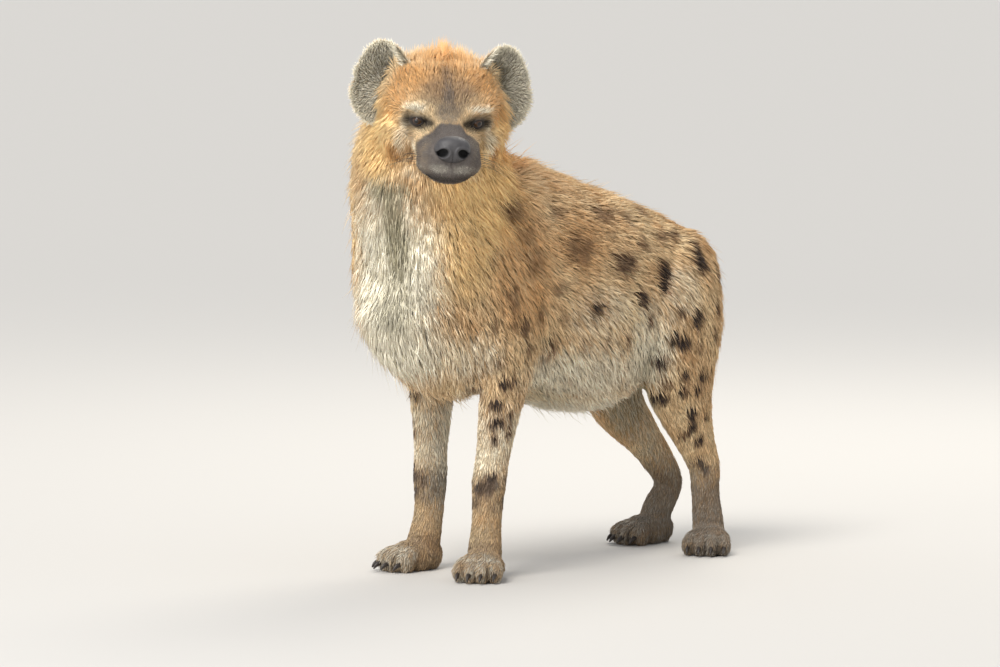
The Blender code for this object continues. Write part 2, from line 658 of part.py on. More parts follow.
def build_nodes():
    made = {}
    skin = fused("body_skin", body_pieces() + head_pieces(), BODY_VOXEL, 6)
    thinned(skin, BODY_TRIANGLES)
    point, normal = NECK_PLANE
    head_point, head_normal = head_plane()
    made["neck"] = kept_part(
        skin, "neck", [(head_point - head_normal * GAP / 2, head_normal), (point + normal * GAP, -normal)]
    )
    torso = kept_part(skin, "torso", [(point, normal)])
    for outline in (SHOULDER_OUTLINE, THIGH_OUTLINE):
        for s in (1, -1):
            region = side_region("region", outline, s * LEG_INNER, s * LEG_OUTER, GAP)
            boolean(torso, region, "DIFFERENCE")
    made["torso"] = largest_surface(torso)
    for kind in ("fore", "hind"):
        for side in ("left", "right"):
            build_leg(kind, side, skin, made)
    build_tail(skin, made)
    head = build_head()
    made["head"] = head
    made["nose"] = build_nose()
    cutter = grown_copy(head, GAP)
    neck_cutter = grown_copy(made["neck"], GAP)
    for side, s in (("left", 1), ("right", -1)):
        flap = ear(f"ear_{side}", s)
        boolean(flap, cutter, "DIFFERENCE", keep=True)
        boolean(flap, neck_cutter, "DIFFERENCE", keep=True)
        made[flap.name] = largest_surface(flap)
        place = Vector((s * EYE_PLACE.x, EYE_PLACE.y, EYE_PLACE.z))
        made[f"eye_{side}"] = ellipsoid(f"eye_{side}", place, [EYE_RADIUS] * 3, None, HEAD_MATRIX, 12, 7)
    bpy.data.objects.remove(cutter)
    bpy.data.objects.remove(neck_cutter)
    grow_locks(made, skin)
    bpy.data.objects.remove(skin)
    return made


def skin_spot(tree, centre, direction):
    """Where the skin is met from outside on the way to a point within it."""
    direction = Vector(direction).normalized()
    hit, normal = tree.ray_cast(Vector(centre) + direction * 0.6, -direction)[:2]
    return hit, normal


def lock(name, skin, root, normal, lie, length, width, stand, twist):
    """A flat tapered lock that follows the skin and lifts towards its tip."""
    lie = (lie - normal * lie.dot(normal)).normalized()
    lie = (Matrix.Rotation(twist, 3, normal) @ lie).normalized()
    along = math.sqrt(max(0.05, 1 - stand * stand))
    path = [(root - normal * LOCK_SINK - lie * LOCK_SINK * 0.6, normal)]
    for share in (0.30, 0.66, 1.0):
        spot, over = skin.find_nearest(root + lie * length * share * along)[:2]
        height = LOCK_THICKNESS * 0.62 + 0.0012 + length * stand * share
        path.append((spot + over * height * 0.35 + normal * height * 0.65, over))
    bm = bmesh.new()
    rings = []
    for (point, over), half in zip(path[:3], (0.42, 0.5, 0.40)):
        ahead = path[1][0] - path[0][0] if not rings else path[len(rings) + 1][0] - path[len(rings) - 1][0]
        side = ahead.cross(over).normalized() * width * half
        up = side.cross(ahead).normalized()
        if up.dot(over) < 0:
            up = -up
        thick = LOCK_THICKNESS * (1.0, 1.0, 0.8)[len(rings)] * 0.5
        corners = (point + side, point + up * thick * 1.2, point - side, point - up * thick * 0.8)
        rings.append([bm.verts.new(c) for c in corners])
    for first, second in zip(rings, rings[1:]):
        for k in range(4):
            n = (k + 1) % 4
            a, b, c, d = first[k], first[n], second[n], second[k]
            bm.faces.new((a, b, c))
            bm.faces.new((a, c, d))
    tip = bm.verts.new(path[3][0])
    for k in range(4):
        bm.faces.new((rings[-1][k], rings[-1][(k + 1) % 4], tip))
    bm.faces.new((rings[0][0], rings[0][1], rings[0][2]))
    bm.faces.new((rings[0][0], rings[0][2], rings[0][3]))
    return add_object(name, mesh_from(bm, name))


def clear_of(tree, piece, margin):
    """True where a piece doesn't cross a skin, and no corner of it is inside or nearer than the margin."""
    if tree.overlap(tree_of(piece)):
        return False
    for vertex in piece.data.vertices:
        spot, normal, _, distance = tree.find_nearest(vertex.co)
        if distance < margin or (distance < 0.02 and (vertex.co - spot).dot(normal) < 0):
            return False
    return True


def united(node, pieces):
    """One closed body of a node and the locks rooted in it."""
    collection = bpy.data.collections.new("locks")
    bpy.context.scene.collection.children.link(collection)
    for piece in pieces:
        bpy.context.scene.collection.objects.unlink(piece)
        collection.objects.link(piece)
    step = node.modifiers.new("locks", "BOOLEAN")
    step.operation = "UNION"
    step.operand_type = "COLLECTION"
    step.collection = collection
    step.solver = "MANIFOLD"
    apply_modifiers(node)
    for piece in list(collection.objects):
        bpy.data.objects.remove(piece)
    bpy.data.collections.remove(collection)
    return largest_surface(node)


def tree_of(*objects):
    bm = bmesh.new()
    for obj in objects:
        bm.from_mesh(obj.data)
    tree = BVHTree.FromBMesh(bm)
    bm.free()
    return tree


def lock_rows():
    """Where locks grow, which way they lie, and their sizes, by the skin that they follow."""
    down, back = Vector((0, 0, -1)), Vector((0, 1, 0))
    rows = {"body": [], "head": [], "tail_brush": []}
    axis = between([row[:3] for row in NECK], 8)
    # the ruff, in rings down the neck, each as far round as the neck shows there
    for height, count, fan, length, width in (
        (0.840, 9, 170, 0.058, 0.030), (0.792, 10, 165, 0.064, 0.034), (0.742, 10, 150, 0.068, 0.036),
        (0.692, 9, 120, 0.070, 0.038), (0.640, 8, 95, 0.070, 0.038), (0.590, 7, 75, 0.066, 0.038),
        (0.548, 6, 55, 0.062, 0.036),
    ):
        centre = axis[np.abs(axis[:, 2] - height).argmin()]
        for k in range(count):
            angle = math.radians(fan) * ((k + 0.5) / count * 2 - 1)
            direction = Vector((math.sin(angle), -math.cos(angle), 0))
            lie = down + back * 0.45 * (1 if direction.y < 0.5 else 0.8)
            rows["body"].append(((*centre[:2], height), direction, lie, length, width, 0.15))
    for k in range(5):
        height = 0.86 - 0.022 * k
        centre = axis[np.abs(axis[:, 2] - height).argmin()]
        rows["body"].append((centre, back + Vector((0, 0, 0.5)), back * 0.8 + down * 0.4, 0.050, 0.020, 0.45))
    # the mane along the back
    for k in range(12):
        y = -0.135 + 0.030 * k
        rows["body"].append(((0.006 * (-1) ** k, y, 0.55), Vector((0, 0, 1)), back, 0.050, 0.018, 0.36))
    # the breast and the belly's fringe
    for height, count in ((0.505, 5), (0.462, 5), (0.420, 4)):
        for k in range(count):
            angle = math.radians(46) * ((k + 0.5) / count * 2 - 1)
            direction = Vector((math.sin(angle), -math.cos(angle), -0.15))
            rows["body"].append(((0, -0.30, height), direction, down + back * 0.2, 0.060, 0.030, 0.16))
    for k in range(6):
        y = -0.10 + 0.040 * k
        for s in (1, -1):
            rows["body"].append(((0.0, y, 0.50), Vector((s * 0.42, 0, -1)), down * 0.5 + back, 0.050, 0.022, 0.20))
    for s in (1, -1):
        rows["body"] += [
            ((s * 0.095, 0.25, z), Vector((s * 0.1, 1, 0)), down + back * 0.2, 0.048, 0.024, 0.16)
            for z in (0.52, 0.465, 0.41, 0.36)
        ]
        rows["body"] += [
            ((s * 0.108, -0.25, z), Vector((s * 0.35, 1, 0)), down + back * 0.1, 0.044, 0.022, 0.16)
            for z in (0.455, 0.410, 0.370)
        ]
        for k in range(5):
            place = HEAD_MATRIX @ Vector((0, 0.012 + 0.004 * k, -0.060 - 0.012 * k))
            direction = HEAD_MATRIX.to_3x3() @ Vector((s * 1.0, -0.52 + 0.16 * k, -0.30 - 0.10 * k))
            lie = HEAD_MATRIX.to_3x3() @ Vector((s * 0.10, 0.75, -0.80))
            rows["head"].append((place, direction, lie, 0.036, 0.020, 0.20))
    for k in range(13):
        across, ahead = (k % 3 - 1) * 0.017, -0.040 + 0.0068 * k
        place = HEAD_MATRIX @ Vector((across, ahead, -0.02))
        direction = HEAD_MATRIX.to_3x3() @ Vector((across * 2, 0, 1))
        lie = HEAD_MATRIX.to_3x3() @ Vector((across * 8, 1.0, 0.2))
        rows["head"].append((place, direction, lie, 0.036, 0.013, 0.80))
    for k in range(12):
        angle, height = 2 * math.pi * k / 12, (0.425, 0.395, 0.37)[k % 3]
        centre = (0, 0.396, height)
        direction = Vector((math.sin(angle), math.cos(angle), 0))
        rows["tail_brush"].append((centre, direction, down, 0.070, 0.018, 0.12))
    return rows



def grow_locks(made, skin):
    """Roots each lock on the node whose skin it starts from. One that would touch another node is left out."""
    draw = np.random.default_rng(LOCK_SEED)
    trees = {name: tree_of(obj) for name, obj in made.items() if "claw" not in name}
    follow = {"body": tree_of(skin), "head": trees["head"], "tail_brush": trees["tail_brush"]}
    grown, laid = {}, []
    for skin_name, rows in lock_rows().items():
        along = follow[skin_name]
        for centre, direction, lie, length, width, stand in rows:
            jitter = Vector(draw.uniform(-1, 1, 3)) * LOCK_JITTER * 0.35
            size = 1 + LOCK_JITTER * draw.uniform(-1, 1)
            twist = draw.uniform(-1, 1) * 0.25
            root, normal = skin_spot(along, centre, Vector(direction).normalized() + jitter)
            if root is None:
                continue
            owner = min(trees, key=lambda name: trees[name].find_nearest(root)[3])
            if trees[owner].find_nearest(root)[3] > 0.002 or owner.startswith("ear"):
                continue
            piece = lock("lock", along, root, normal, Vector(lie), length * size, width * size, stand, twist)
            others = [tree for name, tree in trees.items() if name != owner]
            others += [tree for name, tree in laid if name != owner]
            if all(clear_of(tree, piece, 2 * GAP) for tree in others):
                grown.setdefault(owner, []).append(piece)
                laid.append((owner, tree_of(piece)))
            else:
                bpy.data.objects.remove(piece)
    for name, pieces in grown.items():
        print("locks on", name, len(pieces))
        made[name] = united(made[name], pieces)


def material_for(name):
    for start, (colour, roughness) in MATERIALS.items():
        if name.startswith(start):
            break
    material = bpy.data.materials.new(name)
    material.use_nodes = True
    shader = material.node_tree.nodes["Principled BSDF"]
    shader.inputs["Base Color"].default_value = (*colour, 1.0)
    shader.inputs["Roughness"].default_value = roughness
    return material


def centred(made):
    """Stands the model on the floor with the middle of its bounding box over the origin."""
    points = np.vstack([[v.co for v in obj.data.vertices] for obj in made.values()])
    low, high = points.min(axis=0), points.max(axis=0)
    shift = Matrix.Translation((-(low[0] + high[0]) / 2, -(low[1] + high[1]) / 2, -low[2]))
    for obj in made.values():
        obj.data.transform(shift)
    return low, high, shift


def main():
    clear_scene()
    made = build_nodes()
    low, high, shift = centred(made)
    for name, obj in made.items():
        obj.name = name
        obj.data.materials.clear()
        obj.data.materials.append(material_for(name))
    total = sum(triangle_count(obj) for obj in made.values())
    print("triangles", total, {name: triangle_count(obj) for name, obj in made.items()})
    print("size", [round(float(v), 4) for v in high - low], "shift", [round(v, 5) for v in shift.translation])


main()
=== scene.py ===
# Spotted hyena: one skin, a coat of tufts, eyes, nose and claws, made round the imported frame.
import math
from contextlib import contextmanager
import bmesh
import bpy
import numpy as np
from mathutils import Matrix, Vector
from mathutils.bvhtree import BVHTree


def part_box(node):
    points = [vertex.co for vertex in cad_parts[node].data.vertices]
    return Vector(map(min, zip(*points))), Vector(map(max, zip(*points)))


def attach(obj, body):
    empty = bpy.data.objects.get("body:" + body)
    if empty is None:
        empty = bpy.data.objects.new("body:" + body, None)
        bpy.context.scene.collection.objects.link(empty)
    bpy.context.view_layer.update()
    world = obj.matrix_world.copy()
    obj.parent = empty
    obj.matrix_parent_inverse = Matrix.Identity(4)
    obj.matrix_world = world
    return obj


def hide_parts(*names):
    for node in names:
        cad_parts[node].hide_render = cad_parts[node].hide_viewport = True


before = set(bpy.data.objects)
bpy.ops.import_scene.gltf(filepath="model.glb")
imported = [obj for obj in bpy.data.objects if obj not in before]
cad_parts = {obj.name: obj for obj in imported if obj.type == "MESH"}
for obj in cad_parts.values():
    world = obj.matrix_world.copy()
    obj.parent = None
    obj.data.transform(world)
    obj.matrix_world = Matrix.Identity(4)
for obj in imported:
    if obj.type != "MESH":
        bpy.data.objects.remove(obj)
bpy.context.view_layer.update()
limbs = [(kind, side) for kind in ("fore", "hind") for side in ("Left", "Right")]


def metres(*rows):
    # the tables are in mm
    return [tuple(v / 1000 for v in row) for row in rows]


def spin(degrees, axis):
    return Matrix.Rotation(math.radians(degrees), 4, axis)


def sided(s, place):
    return (s * place[0], *place[1:])


# The part's own stations: centre x, y, z, half width, reach to the front or top, to the back or bottom.
torsoRows = metres(
    (0, -440, 600, 50, 60, 80), (0, -422, 590, 100, 110, 140), (0, -380, 580, 132, 160, 195),
    (0, -300, 575, 152, 205, 230), (0, -200, 575, 158, 228, 230), (0, -100, 560, 158, 218, 230),
    (0, 0, 540, 156, 205, 240), (0, 80, 535, 152, 195, 238), (0, 160, 540, 144, 170, 212),
    (0, 230, 550, 136, 135, 170), (0, 300, 555, 120, 92, 130), (0, 345, 550, 95, 55, 95),
    (0, 375, 545, 50, 25, 50),
)
neckRows = metres(
    (0, -200, 530, 135, 220, 150), (0, -255, 640, 150, 222, 150), (-4, -305, 730, 152, 190, 135),
    (20, -342, 815, 142, 155, 115), (54, -365, 885, 114, 108, 100), (70, -375, 925, 80, 75, 80),
)
tailRows = metres(
    (0, 300, 610, 30, 30, 30), (0, 355, 590, 26, 26, 26), (0, 388, 545, 22, 21, 21), (0, 398, 480, 22, 20, 20),
    (0, 396, 420, 22, 20, 20), (0, 392, 365, 17, 15, 15), (0, 388, 325, 6, 6, 6),
)
foreRows = metres(
    (95, -270, 660, 50, 90, 90), (105, -275, 560, 60, 105, 110), (108, -255, 460, 56, 85, 95),
    (104, -240, 400, 47, 60, 66), (98, -248, 330, 38, 43, 46), (94, -262, 240, 31, 33, 35),
    (93, -272, 180, 31, 34, 34), (94, -278, 120, 28, 29, 29), (96, -284, 70, 31, 31, 30),
    (98, -288, 35, 34, 32, 30),
)
hindRows = metres(
    (72, 235, 610, 55, 80, 80), (90, 232, 545, 68, 120, 108), (98, 230, 460, 66, 120, 115),
    (98, 238, 370, 56, 92, 92), (94, 264, 290, 43, 64, 62), (90, 298, 220, 32, 42, 42),
    (90, 321, 172, 29, 34, 34), (91, 324, 120, 27, 29, 29), (94, 328, 70, 30, 31, 29),
    (97, 330, 35, 33, 32, 28),
)
# The head's own tables face -y in its own frame, with its left at +x.
craniumRows = metres(
    (0, -134, -50, 34, 26, 45), (0, -124, -48, 62, 40, 60), (0, -105, -43, 82, 47, 72),
    (0, -80, -38, 98, 62, 82), (0, -45, -36, 111, 82, 90), (0, -5, -36, 115, 94, 90), (0, 40, -40, 106, 88, 86),
    (0, 78, -45, 82, 62, 66),
)
muzzleRows = metres(
    (0, -240, -80, 30, 28, 22), (0, -232, -81, 43, 36, 32), (0, -212, -82, 53, 40, 38),
    (0, -180, -80, 58, 40, 44), (0, -145, -74, 60, 36, 50), (0, -110, -66, 66, 30, 56),
)
bridgeRows = metres(
    (0, -226, -58, 26, 22, 20), (0, -200, -56, 32, 25, 20), (0, -165, -54, 34, 26, 20),
    (0, -130, -50, 38, 32, 20), (0, -100, -45, 48, 44, 20), (0, -70, -40, 60, 62, 30),
)
jawRows = metres(
    (0, -222, -112, 24, 14, 12), (0, -208, -112, 36, 16, 18), (0, -180, -110, 44, 18, 22),
    (0, -140, -104, 50, 20, 30), (0, -100, -95, 58, 20, 40),
)
head = {
    "centre": (0.077, -0.378, 0.938), "yaw": 52.5, "pitch": 14.0, "roll": 3.0,
    "eyePlace": (0.0536, -0.1180, -0.0350), "eyeRadius": 0.0130, "eyeOutward": 24.0, "eyeSlant": 1.0,
    "voxel": 0.0037, "smoothing": 6,
}
body = {
    "voxel": 0.0075, "smoothing": 4, "neckPoint": (0.0, -0.330, 0.660), "neckNormal": (0.0, -0.80, 0.60),
    "creases": {"centre": (0.0, -0.41, 0.60), "reach": 0.23, "rounds": 70},
    "elbowHeight": 0.335, "kneeHeight": 0.290, "pawTop": 0.078,
    "foreRightShifts": (0.0, 0.0, 0.0, 0.0, 0.005, 0.014, 0.022, 0.026, 0.024, 0.020),
    "hindRightShifts": (0.0, 0.0, 0.0, 0.0, 0.0, 0.028, 0.050, 0.082, 0.052, 0.040),
}
paw = {
    "turns": {"foreLeft": 34, "foreRight": 8, "hindLeft": 38, "hindRight": 6},
    "width": 0.098, "length": 0.104, "toeRadius": 0.0145, "toes": 4, "voxel": 0.0037, "smoothing": 3,
    "sole": 0.0012,
}
ear = {
    "place": (0.117, 0.000, 0.000), "outward": 16.0, "depth": 0.036, "sides": 72, "thickness": 0.0050,
    "reach": (0.051, 0.058, 0.080, 0.068, 0.060, 0.062, 0.081, 0.069), "trim": 0.0035,
    "hollow": 0.30, "lean": (0.055, 0.040),
}
headMatrix = Matrix.Translation(head["centre"]) @ spin(head["yaw"], "Z")
headMatrix = headMatrix @ spin(head["pitch"], "X") @ spin(head["roll"], "Y")
# The part stands this far from its tables.
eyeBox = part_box("eye_left")
shift = (eyeBox[0] + eyeBox[1]) / 2 - headMatrix @ Vector(head["eyePlace"])
shiftMatrix = Matrix.Translation(shift)


def addObject(name, mesh):
    obj = bpy.data.objects.new(name, mesh)
    bpy.context.scene.collection.objects.link(obj)
    return obj


def meshFrom(bm, name, outwards=True):
    if outwards:
        bmesh.ops.recalc_face_normals(bm, faces=bm.faces)
    mesh = bpy.data.meshes.new(name)
    bm.to_mesh(mesh)
    bm.free()
    return mesh


@contextmanager
def edited(obj):
    bm = bmesh.new()
    bm.from_mesh(obj.data)
    yield bm
    bm.to_mesh(obj.data)
    bm.free()


def removed(obj):
    mesh = obj.data
    bpy.data.objects.remove(obj)
    bpy.data.meshes.remove(mesh)


def gathered(pieces):
    bm = bmesh.new()
    for piece in pieces:
        bm.from_mesh(piece.data)
        removed(piece)
    return bm


def readAll(items, slot, size=1, kind=np.float32):
    found = np.empty(len(items) * size, kind)
    items.foreach_get(slot, found)
    return found.reshape(-1, size) if size > 1 else found


def pointsOf(mesh):
    return readAll(mesh.vertices, "co", 3).astype(float)


def normalsOf(mesh):
    return readAll(mesh.vertex_normals, "vector", 3).astype(float)


def setPoints(mesh, points):
    mesh.vertices.foreach_set("co", np.asarray(points, np.float32).ravel())
    mesh.update()


def raisedTo(mesh, height):
    # nothing reaches under the floor
    points = pointsOf(mesh)
    points[:, 2] = np.maximum(points[:, 2], height)
    setPoints(mesh, points)


def setField(mesh, name, values, domain="POINT"):
    values = np.asarray(values, np.float32)
    kind, slot = ("FLOAT", "value") if values.ndim == 1 else ("FLOAT_VECTOR", "vector")
    layer = mesh.attributes.get(name) or mesh.attributes.new(name, kind, domain)
    layer.data.foreach_set(slot, values.ravel())


def moved(points, matrix):
    turn = np.array(matrix.to_3x3())
    return points @ turn.T + np.array(matrix.translation)


def unit(vectors):
    return vectors / np.maximum(np.linalg.norm(vectors, axis=-1, keepdims=True), 1e-9)


def smooth(values, low, high):
    t = np.clip((values - low) / (high - low), 0, 1)
    return t * t * (3 - 2 * t)


hashPrimes = (73856093, 19349663, 83492791, 1274126177)


def hashed(x, y, z, seed):
    # a number from -1 to 1 for each corner of a grid
    a, b, c, last = hashPrimes
    h = (x * a) ^ (y * b) ^ (z * c) ^ (seed * c + 12345)
    h = (h ^ (h >> 13)) * last & 0xFFFFFFFF
    return ((h ^ (h >> 16)) & 0xFFFF) / 32767.5 - 1


def cloudy(points, size, seed):
    # smooth noise from -1 to 1
    p = points / size
    cell = np.floor(p).astype(np.int64)
    t = p - cell
    t = t * t * (3 - 2 * t)
    total = 0
    for corner in range(8):
        dx, dy, dz = corner & 1, corner >> 1 & 1, corner >> 2
        share = (t[:, 0] if dx else 1 - t[:, 0]) * (t[:, 1] if dy else 1 - t[:, 1])
        share = share * (t[:, 2] if dz else 1 - t[:, 2])
        total = total + share * hashed(cell[:, 0] + dx, cell[:, 1] + dy, cell[:, 2] + dz, seed)
    return total


def raggedly(points, size, seeds):
    # noise in three directions
    return np.stack([cloudy(points, size, k) for k in seeds], 1)


def between(rows, steps):
    rows = np.array(rows, float)
    padded = np.vstack([2 * rows[0] - rows[1], rows, 2 * rows[-1] - rows[-2]])
    found = []
    for i in range(1, len(rows)):
        a, b, c, d = padded[i - 1 : i + 3]
        for t in np.arange(steps) / steps:
            bend = 2 * a - 5 * b + 4 * c - d
            twist = 3 * b - a - 3 * c + d
            found.append(0.5 * (2 * b + (c - a) * t + bend * t * t + twist * t ** 3))
    return np.vstack([found, rows[-1]])


def bridged(bm, rings):
    # faces from ring to ring, and one over each end
    for first, second in zip(rings, rings[1:]):
        for k in range(len(first)):
            n = (k + 1) % len(first)
            bm.faces.new((first[k], first[n], second[n], second[k]))
    bm.faces.new(rings[0][::-1])
    bm.faces.new(rings[-1])


def loft(name, stations, upHint, fullness=2.2, sides=40, steps=6, place=None):
    rows = between(stations, steps)
    bm = bmesh.new()
    rings = []
    for row, tangent in zip(rows, np.gradient(rows[:, :3], axis=0)):
        along = Vector(tangent).normalized()
        up = (Vector(upHint) - Vector(upHint).dot(along) * along).normalized()
        side = along.cross(up)
        ring = []
        for k in range(sides):
            angle = 2 * math.pi * k / sides
            c, s = [math.copysign(abs(v) ** (2 / fullness), v) for v in (math.cos(angle), math.sin(angle))]
            rise = row[4] if s > 0 else row[5]
            ring.append(bm.verts.new(Vector(row[:3]) + side * c * row[3] + up * s * rise))
        rings.append(ring)
    bridged(bm, rings)
    if place is not None:
        bmesh.ops.transform(bm, matrix=place, verts=bm.verts)
    return addObject(name, meshFrom(bm, name))


def ellipsoid(name, centre, radii, turn=Matrix(), place=None, segments=32, rings=20):
    bm = bmesh.new()
    bmesh.ops.create_uvsphere(bm, u_segments=segments, v_segments=rings, radius=1.0)
    matrix = (place or Matrix()) @ Matrix.Translation(centre) @ turn @ Matrix.Diagonal((*radii, 1.0))
    bmesh.ops.transform(bm, matrix=matrix, verts=bm.verts)
    return addObject(name, meshFrom(bm, name))


def fused(name, pieces, voxel, rounds):
    obj = addObject(name, meshFrom(gathered(pieces), name, False))
    remesh = obj.modifiers.new("skin", "REMESH")
    remesh.mode = "VOXEL"
    remesh.voxel_size = voxel
    smoother = obj.modifiers.new("smooth", "SMOOTH")
    smoother.factor = 0.5
    smoother.iterations = rounds
    bpy.context.view_layer.update()
    mesh = bpy.data.meshes.new_from_object(obj.evaluated_get(bpy.context.evaluated_depsgraph_get()))
    obj.modifiers.clear()
    obj.data = mesh
    return obj


def cut(obj, point, normal):
    # drops what lies on the side that the normal points to
    with edited(obj) as bm:
        geometry = list(bm.verts) + list(bm.edges) + list(bm.faces)
        bmesh.ops.bisect_plane(bm, geom=geometry, plane_co=point, plane_no=normal, clear_outer=True)


def eased(obj, centre, reach, rounds):
    # creases near a place are smoothed away
    with edited(obj) as bm:
        near = [v for v in bm.verts if (v.co - Vector(centre)).length < reach]
        for _ in range(rounds):
            bmesh.ops.smooth_vert(bm, verts=near, factor=0.5, use_axis_x=True, use_axis_y=True, use_axis_z=True)


def legRows(kind, side):
    rows = foreRows if kind == "fore" else hindRows
    if side == "Left":
        return rows
    return [(-x, y + s, *rest) for (x, y, *rest), s in zip(rows, body[f"{kind}RightShifts"])]


def lumps(table, place=None):
    # an ellipsoid on each side for each row
    for s in (1, -1):
        for name, centre, radii, nod, lean in table:
            yield ellipsoid(name, sided(s, centre), radii, spin(nod, "X") @ spin(s * lean, "Y"), place)


# Muscles and pads: middle, radii, nod and lean in degrees.
bodyLumps = (
    ("blade", (0.085, -0.205, 0.655), (0.062, 0.085, 0.125), -18, 0),
    ("arm", (0.108, -0.300, 0.540), (0.055, 0.085, 0.120), 20, 0),
    ("breast", (0.035, -0.330, 0.590), (0.112, 0.114, 0.130), 0, 0),
    ("haunch", (0.080, 0.238, 0.545), (0.066, 0.118, 0.105), 0, 0),
    ("chestFront", (0.040, -0.375, 0.590), (0.100, 0.088, 0.150), 0, 0),
    ("chestSide", (0.085, -0.345, 0.620), (0.078, 0.092, 0.170), 0, 0),
)
headLumps = (
    ("cheek", (0.075, -0.045, -0.075), (0.042, 0.060, 0.055), 0, 0),
    ("brow", (0.053, -0.112, -0.012), (0.029, 0.018, 0.010), -20, 3),
    ("lids", head["eyePlace"], [head["eyeRadius"] * 1.20] * 3, 0, 0),
    ("lipPad", (0.033, -0.193, -0.093), (0.027, 0.040, 0.021), 0, 0),
    ("earRoot", (0.080, 0.010, 0.012), (0.024, 0.024, 0.040), 0, 0),
)


def bodyPieces():
    pieces = [loft("torso", torsoRows, (0, 0, 1), 2.25), loft("neck", neckRows, (0, -1, 0), 2.1)]
    pieces += [loft(kind + side, legRows(kind, side), (0, -1, 0), 2.1) for kind, side in limbs]
    return pieces + list(lumps(bodyLumps))


def headPieces():
    pieces = [loft("neck", neckRows, (0, -1, 0), 2.1)]
    parts = {"cranium": craniumRows, "muzzle": muzzleRows, "bridge": bridgeRows, "jaw": jawRows}
    pieces += [loft(name, rows, (0, 0, 1), 2.3, place=headMatrix) for name, rows in parts.items()]
    return pieces + list(lumps(headLumps, headMatrix))


def toePlaces():
    for k in range(paw["toes"]):
        share = k / (paw["toes"] - 1) * 2 - 1
        yield k + 1, share, -0.022 - paw["length"] * 0.62 * (1.0 - 0.22 * share * share)


def pawPlace(kind, side):
    x, y = legRows(kind, side)[-1][:2]
    return Matrix.Translation((x, y, 0)) @ spin(paw["turns"][kind + side] * (1 if x > 0 else -1), "Z")


def pawPieces(place):
    half, r = paw["width"] / 2, paw["toeRadius"]
    pieces = [
        ellipsoid("palm", (0, -0.022, 0.026), (half * 0.86, paw["length"] * 0.42, 0.034), place=place),
        ellipsoid("heel", (0, 0.012, 0.030), (half * 0.62, 0.030, 0.036), place=place),
    ]
    for k, share, front in toePlaces():
        wide = share * (half - r)
        rows = (
            (wide * 0.60, -0.010, 0.032, 0.011, 0.014, 0.014),
            (wide * 0.78, front * 0.55, 0.034, r, 0.015, 0.020),
            (wide * 0.94, front * 0.82, 0.024, r * 1.06, 0.018, 0.026),
            (wide * 1.00, front * 0.97, 0.016, r * 0.94, 0.016, 0.019),
            (wide * 1.02, front * 1.04, 0.013, r * 0.60, 0.010, 0.012),
        )
        pieces.append(loft("toe", rows, (0, 0, 1), 2.0, 20, 5, place))
    return pieces


def earFrame(side):
    # columns: outwards, up and forwards of the ear, and its middle
    out = math.radians(ear["outward"])
    facing = Vector((side * math.sin(out), -math.cos(out), 0.10)).normalized()
    outward = (Vector((side, 0, 0)) - facing * facing.x * side).normalized()
    up = (outward.cross(facing) * -side).normalized()
    place = Matrix((outward, up, facing)).transposed().to_4x4()
    return headMatrix @ Matrix.Translation(sided(side, ear["place"])) @ place


def earReach(angles):
    count = len(ear["reach"]) * 8
    table = between([(r,) for r in (*ear["reach"], ear["reach"][0])], 8)[:, 0]
    spot = (np.asarray(angles) / (2 * math.pi) % 1.0) * count
    low = np.floor(spot).astype(int)
    return table[low % count] * (1 - spot + low) + table[(low + 1) % count] * (spot - low)


def earShell(side):
    # a cup with a front and a back wall, that leans in towards its bottom
    place, depth = earFrame(side), ear["depth"]
    angles = 2 * math.pi * np.arange(ear["sides"]) / ear["sides"]
    reach = earReach(angles) - ear["trim"]
    circle = [(math.cos(a), math.sin(a)) for a in angles]
    rows = [(s, -depth * (1 - s ** 2.4)) for s in np.linspace(0.06, 1.0, 18)] + [(1.004, -0.0022)]
    rows += [(s, -depth * (1 - s ** 2.0) * 1.15 - ear["thickness"]) for s in np.linspace(0.985, 0.06, 14)]
    bm = bmesh.new()
    rings = []
    for share, level in rows:
        out, up = [(1 - share) * ear["hollow"] * v for v in ear["lean"]]
        spots = [(c * r * share - out, s * r * share - up, level) for (c, s), r in zip(circle, reach)]
        rings.append([bm.verts.new(place @ Vector(spot)) for spot in spots])
    bridged(bm, rings)
    return addObject("earShell", meshFrom(bm, "earShell"))


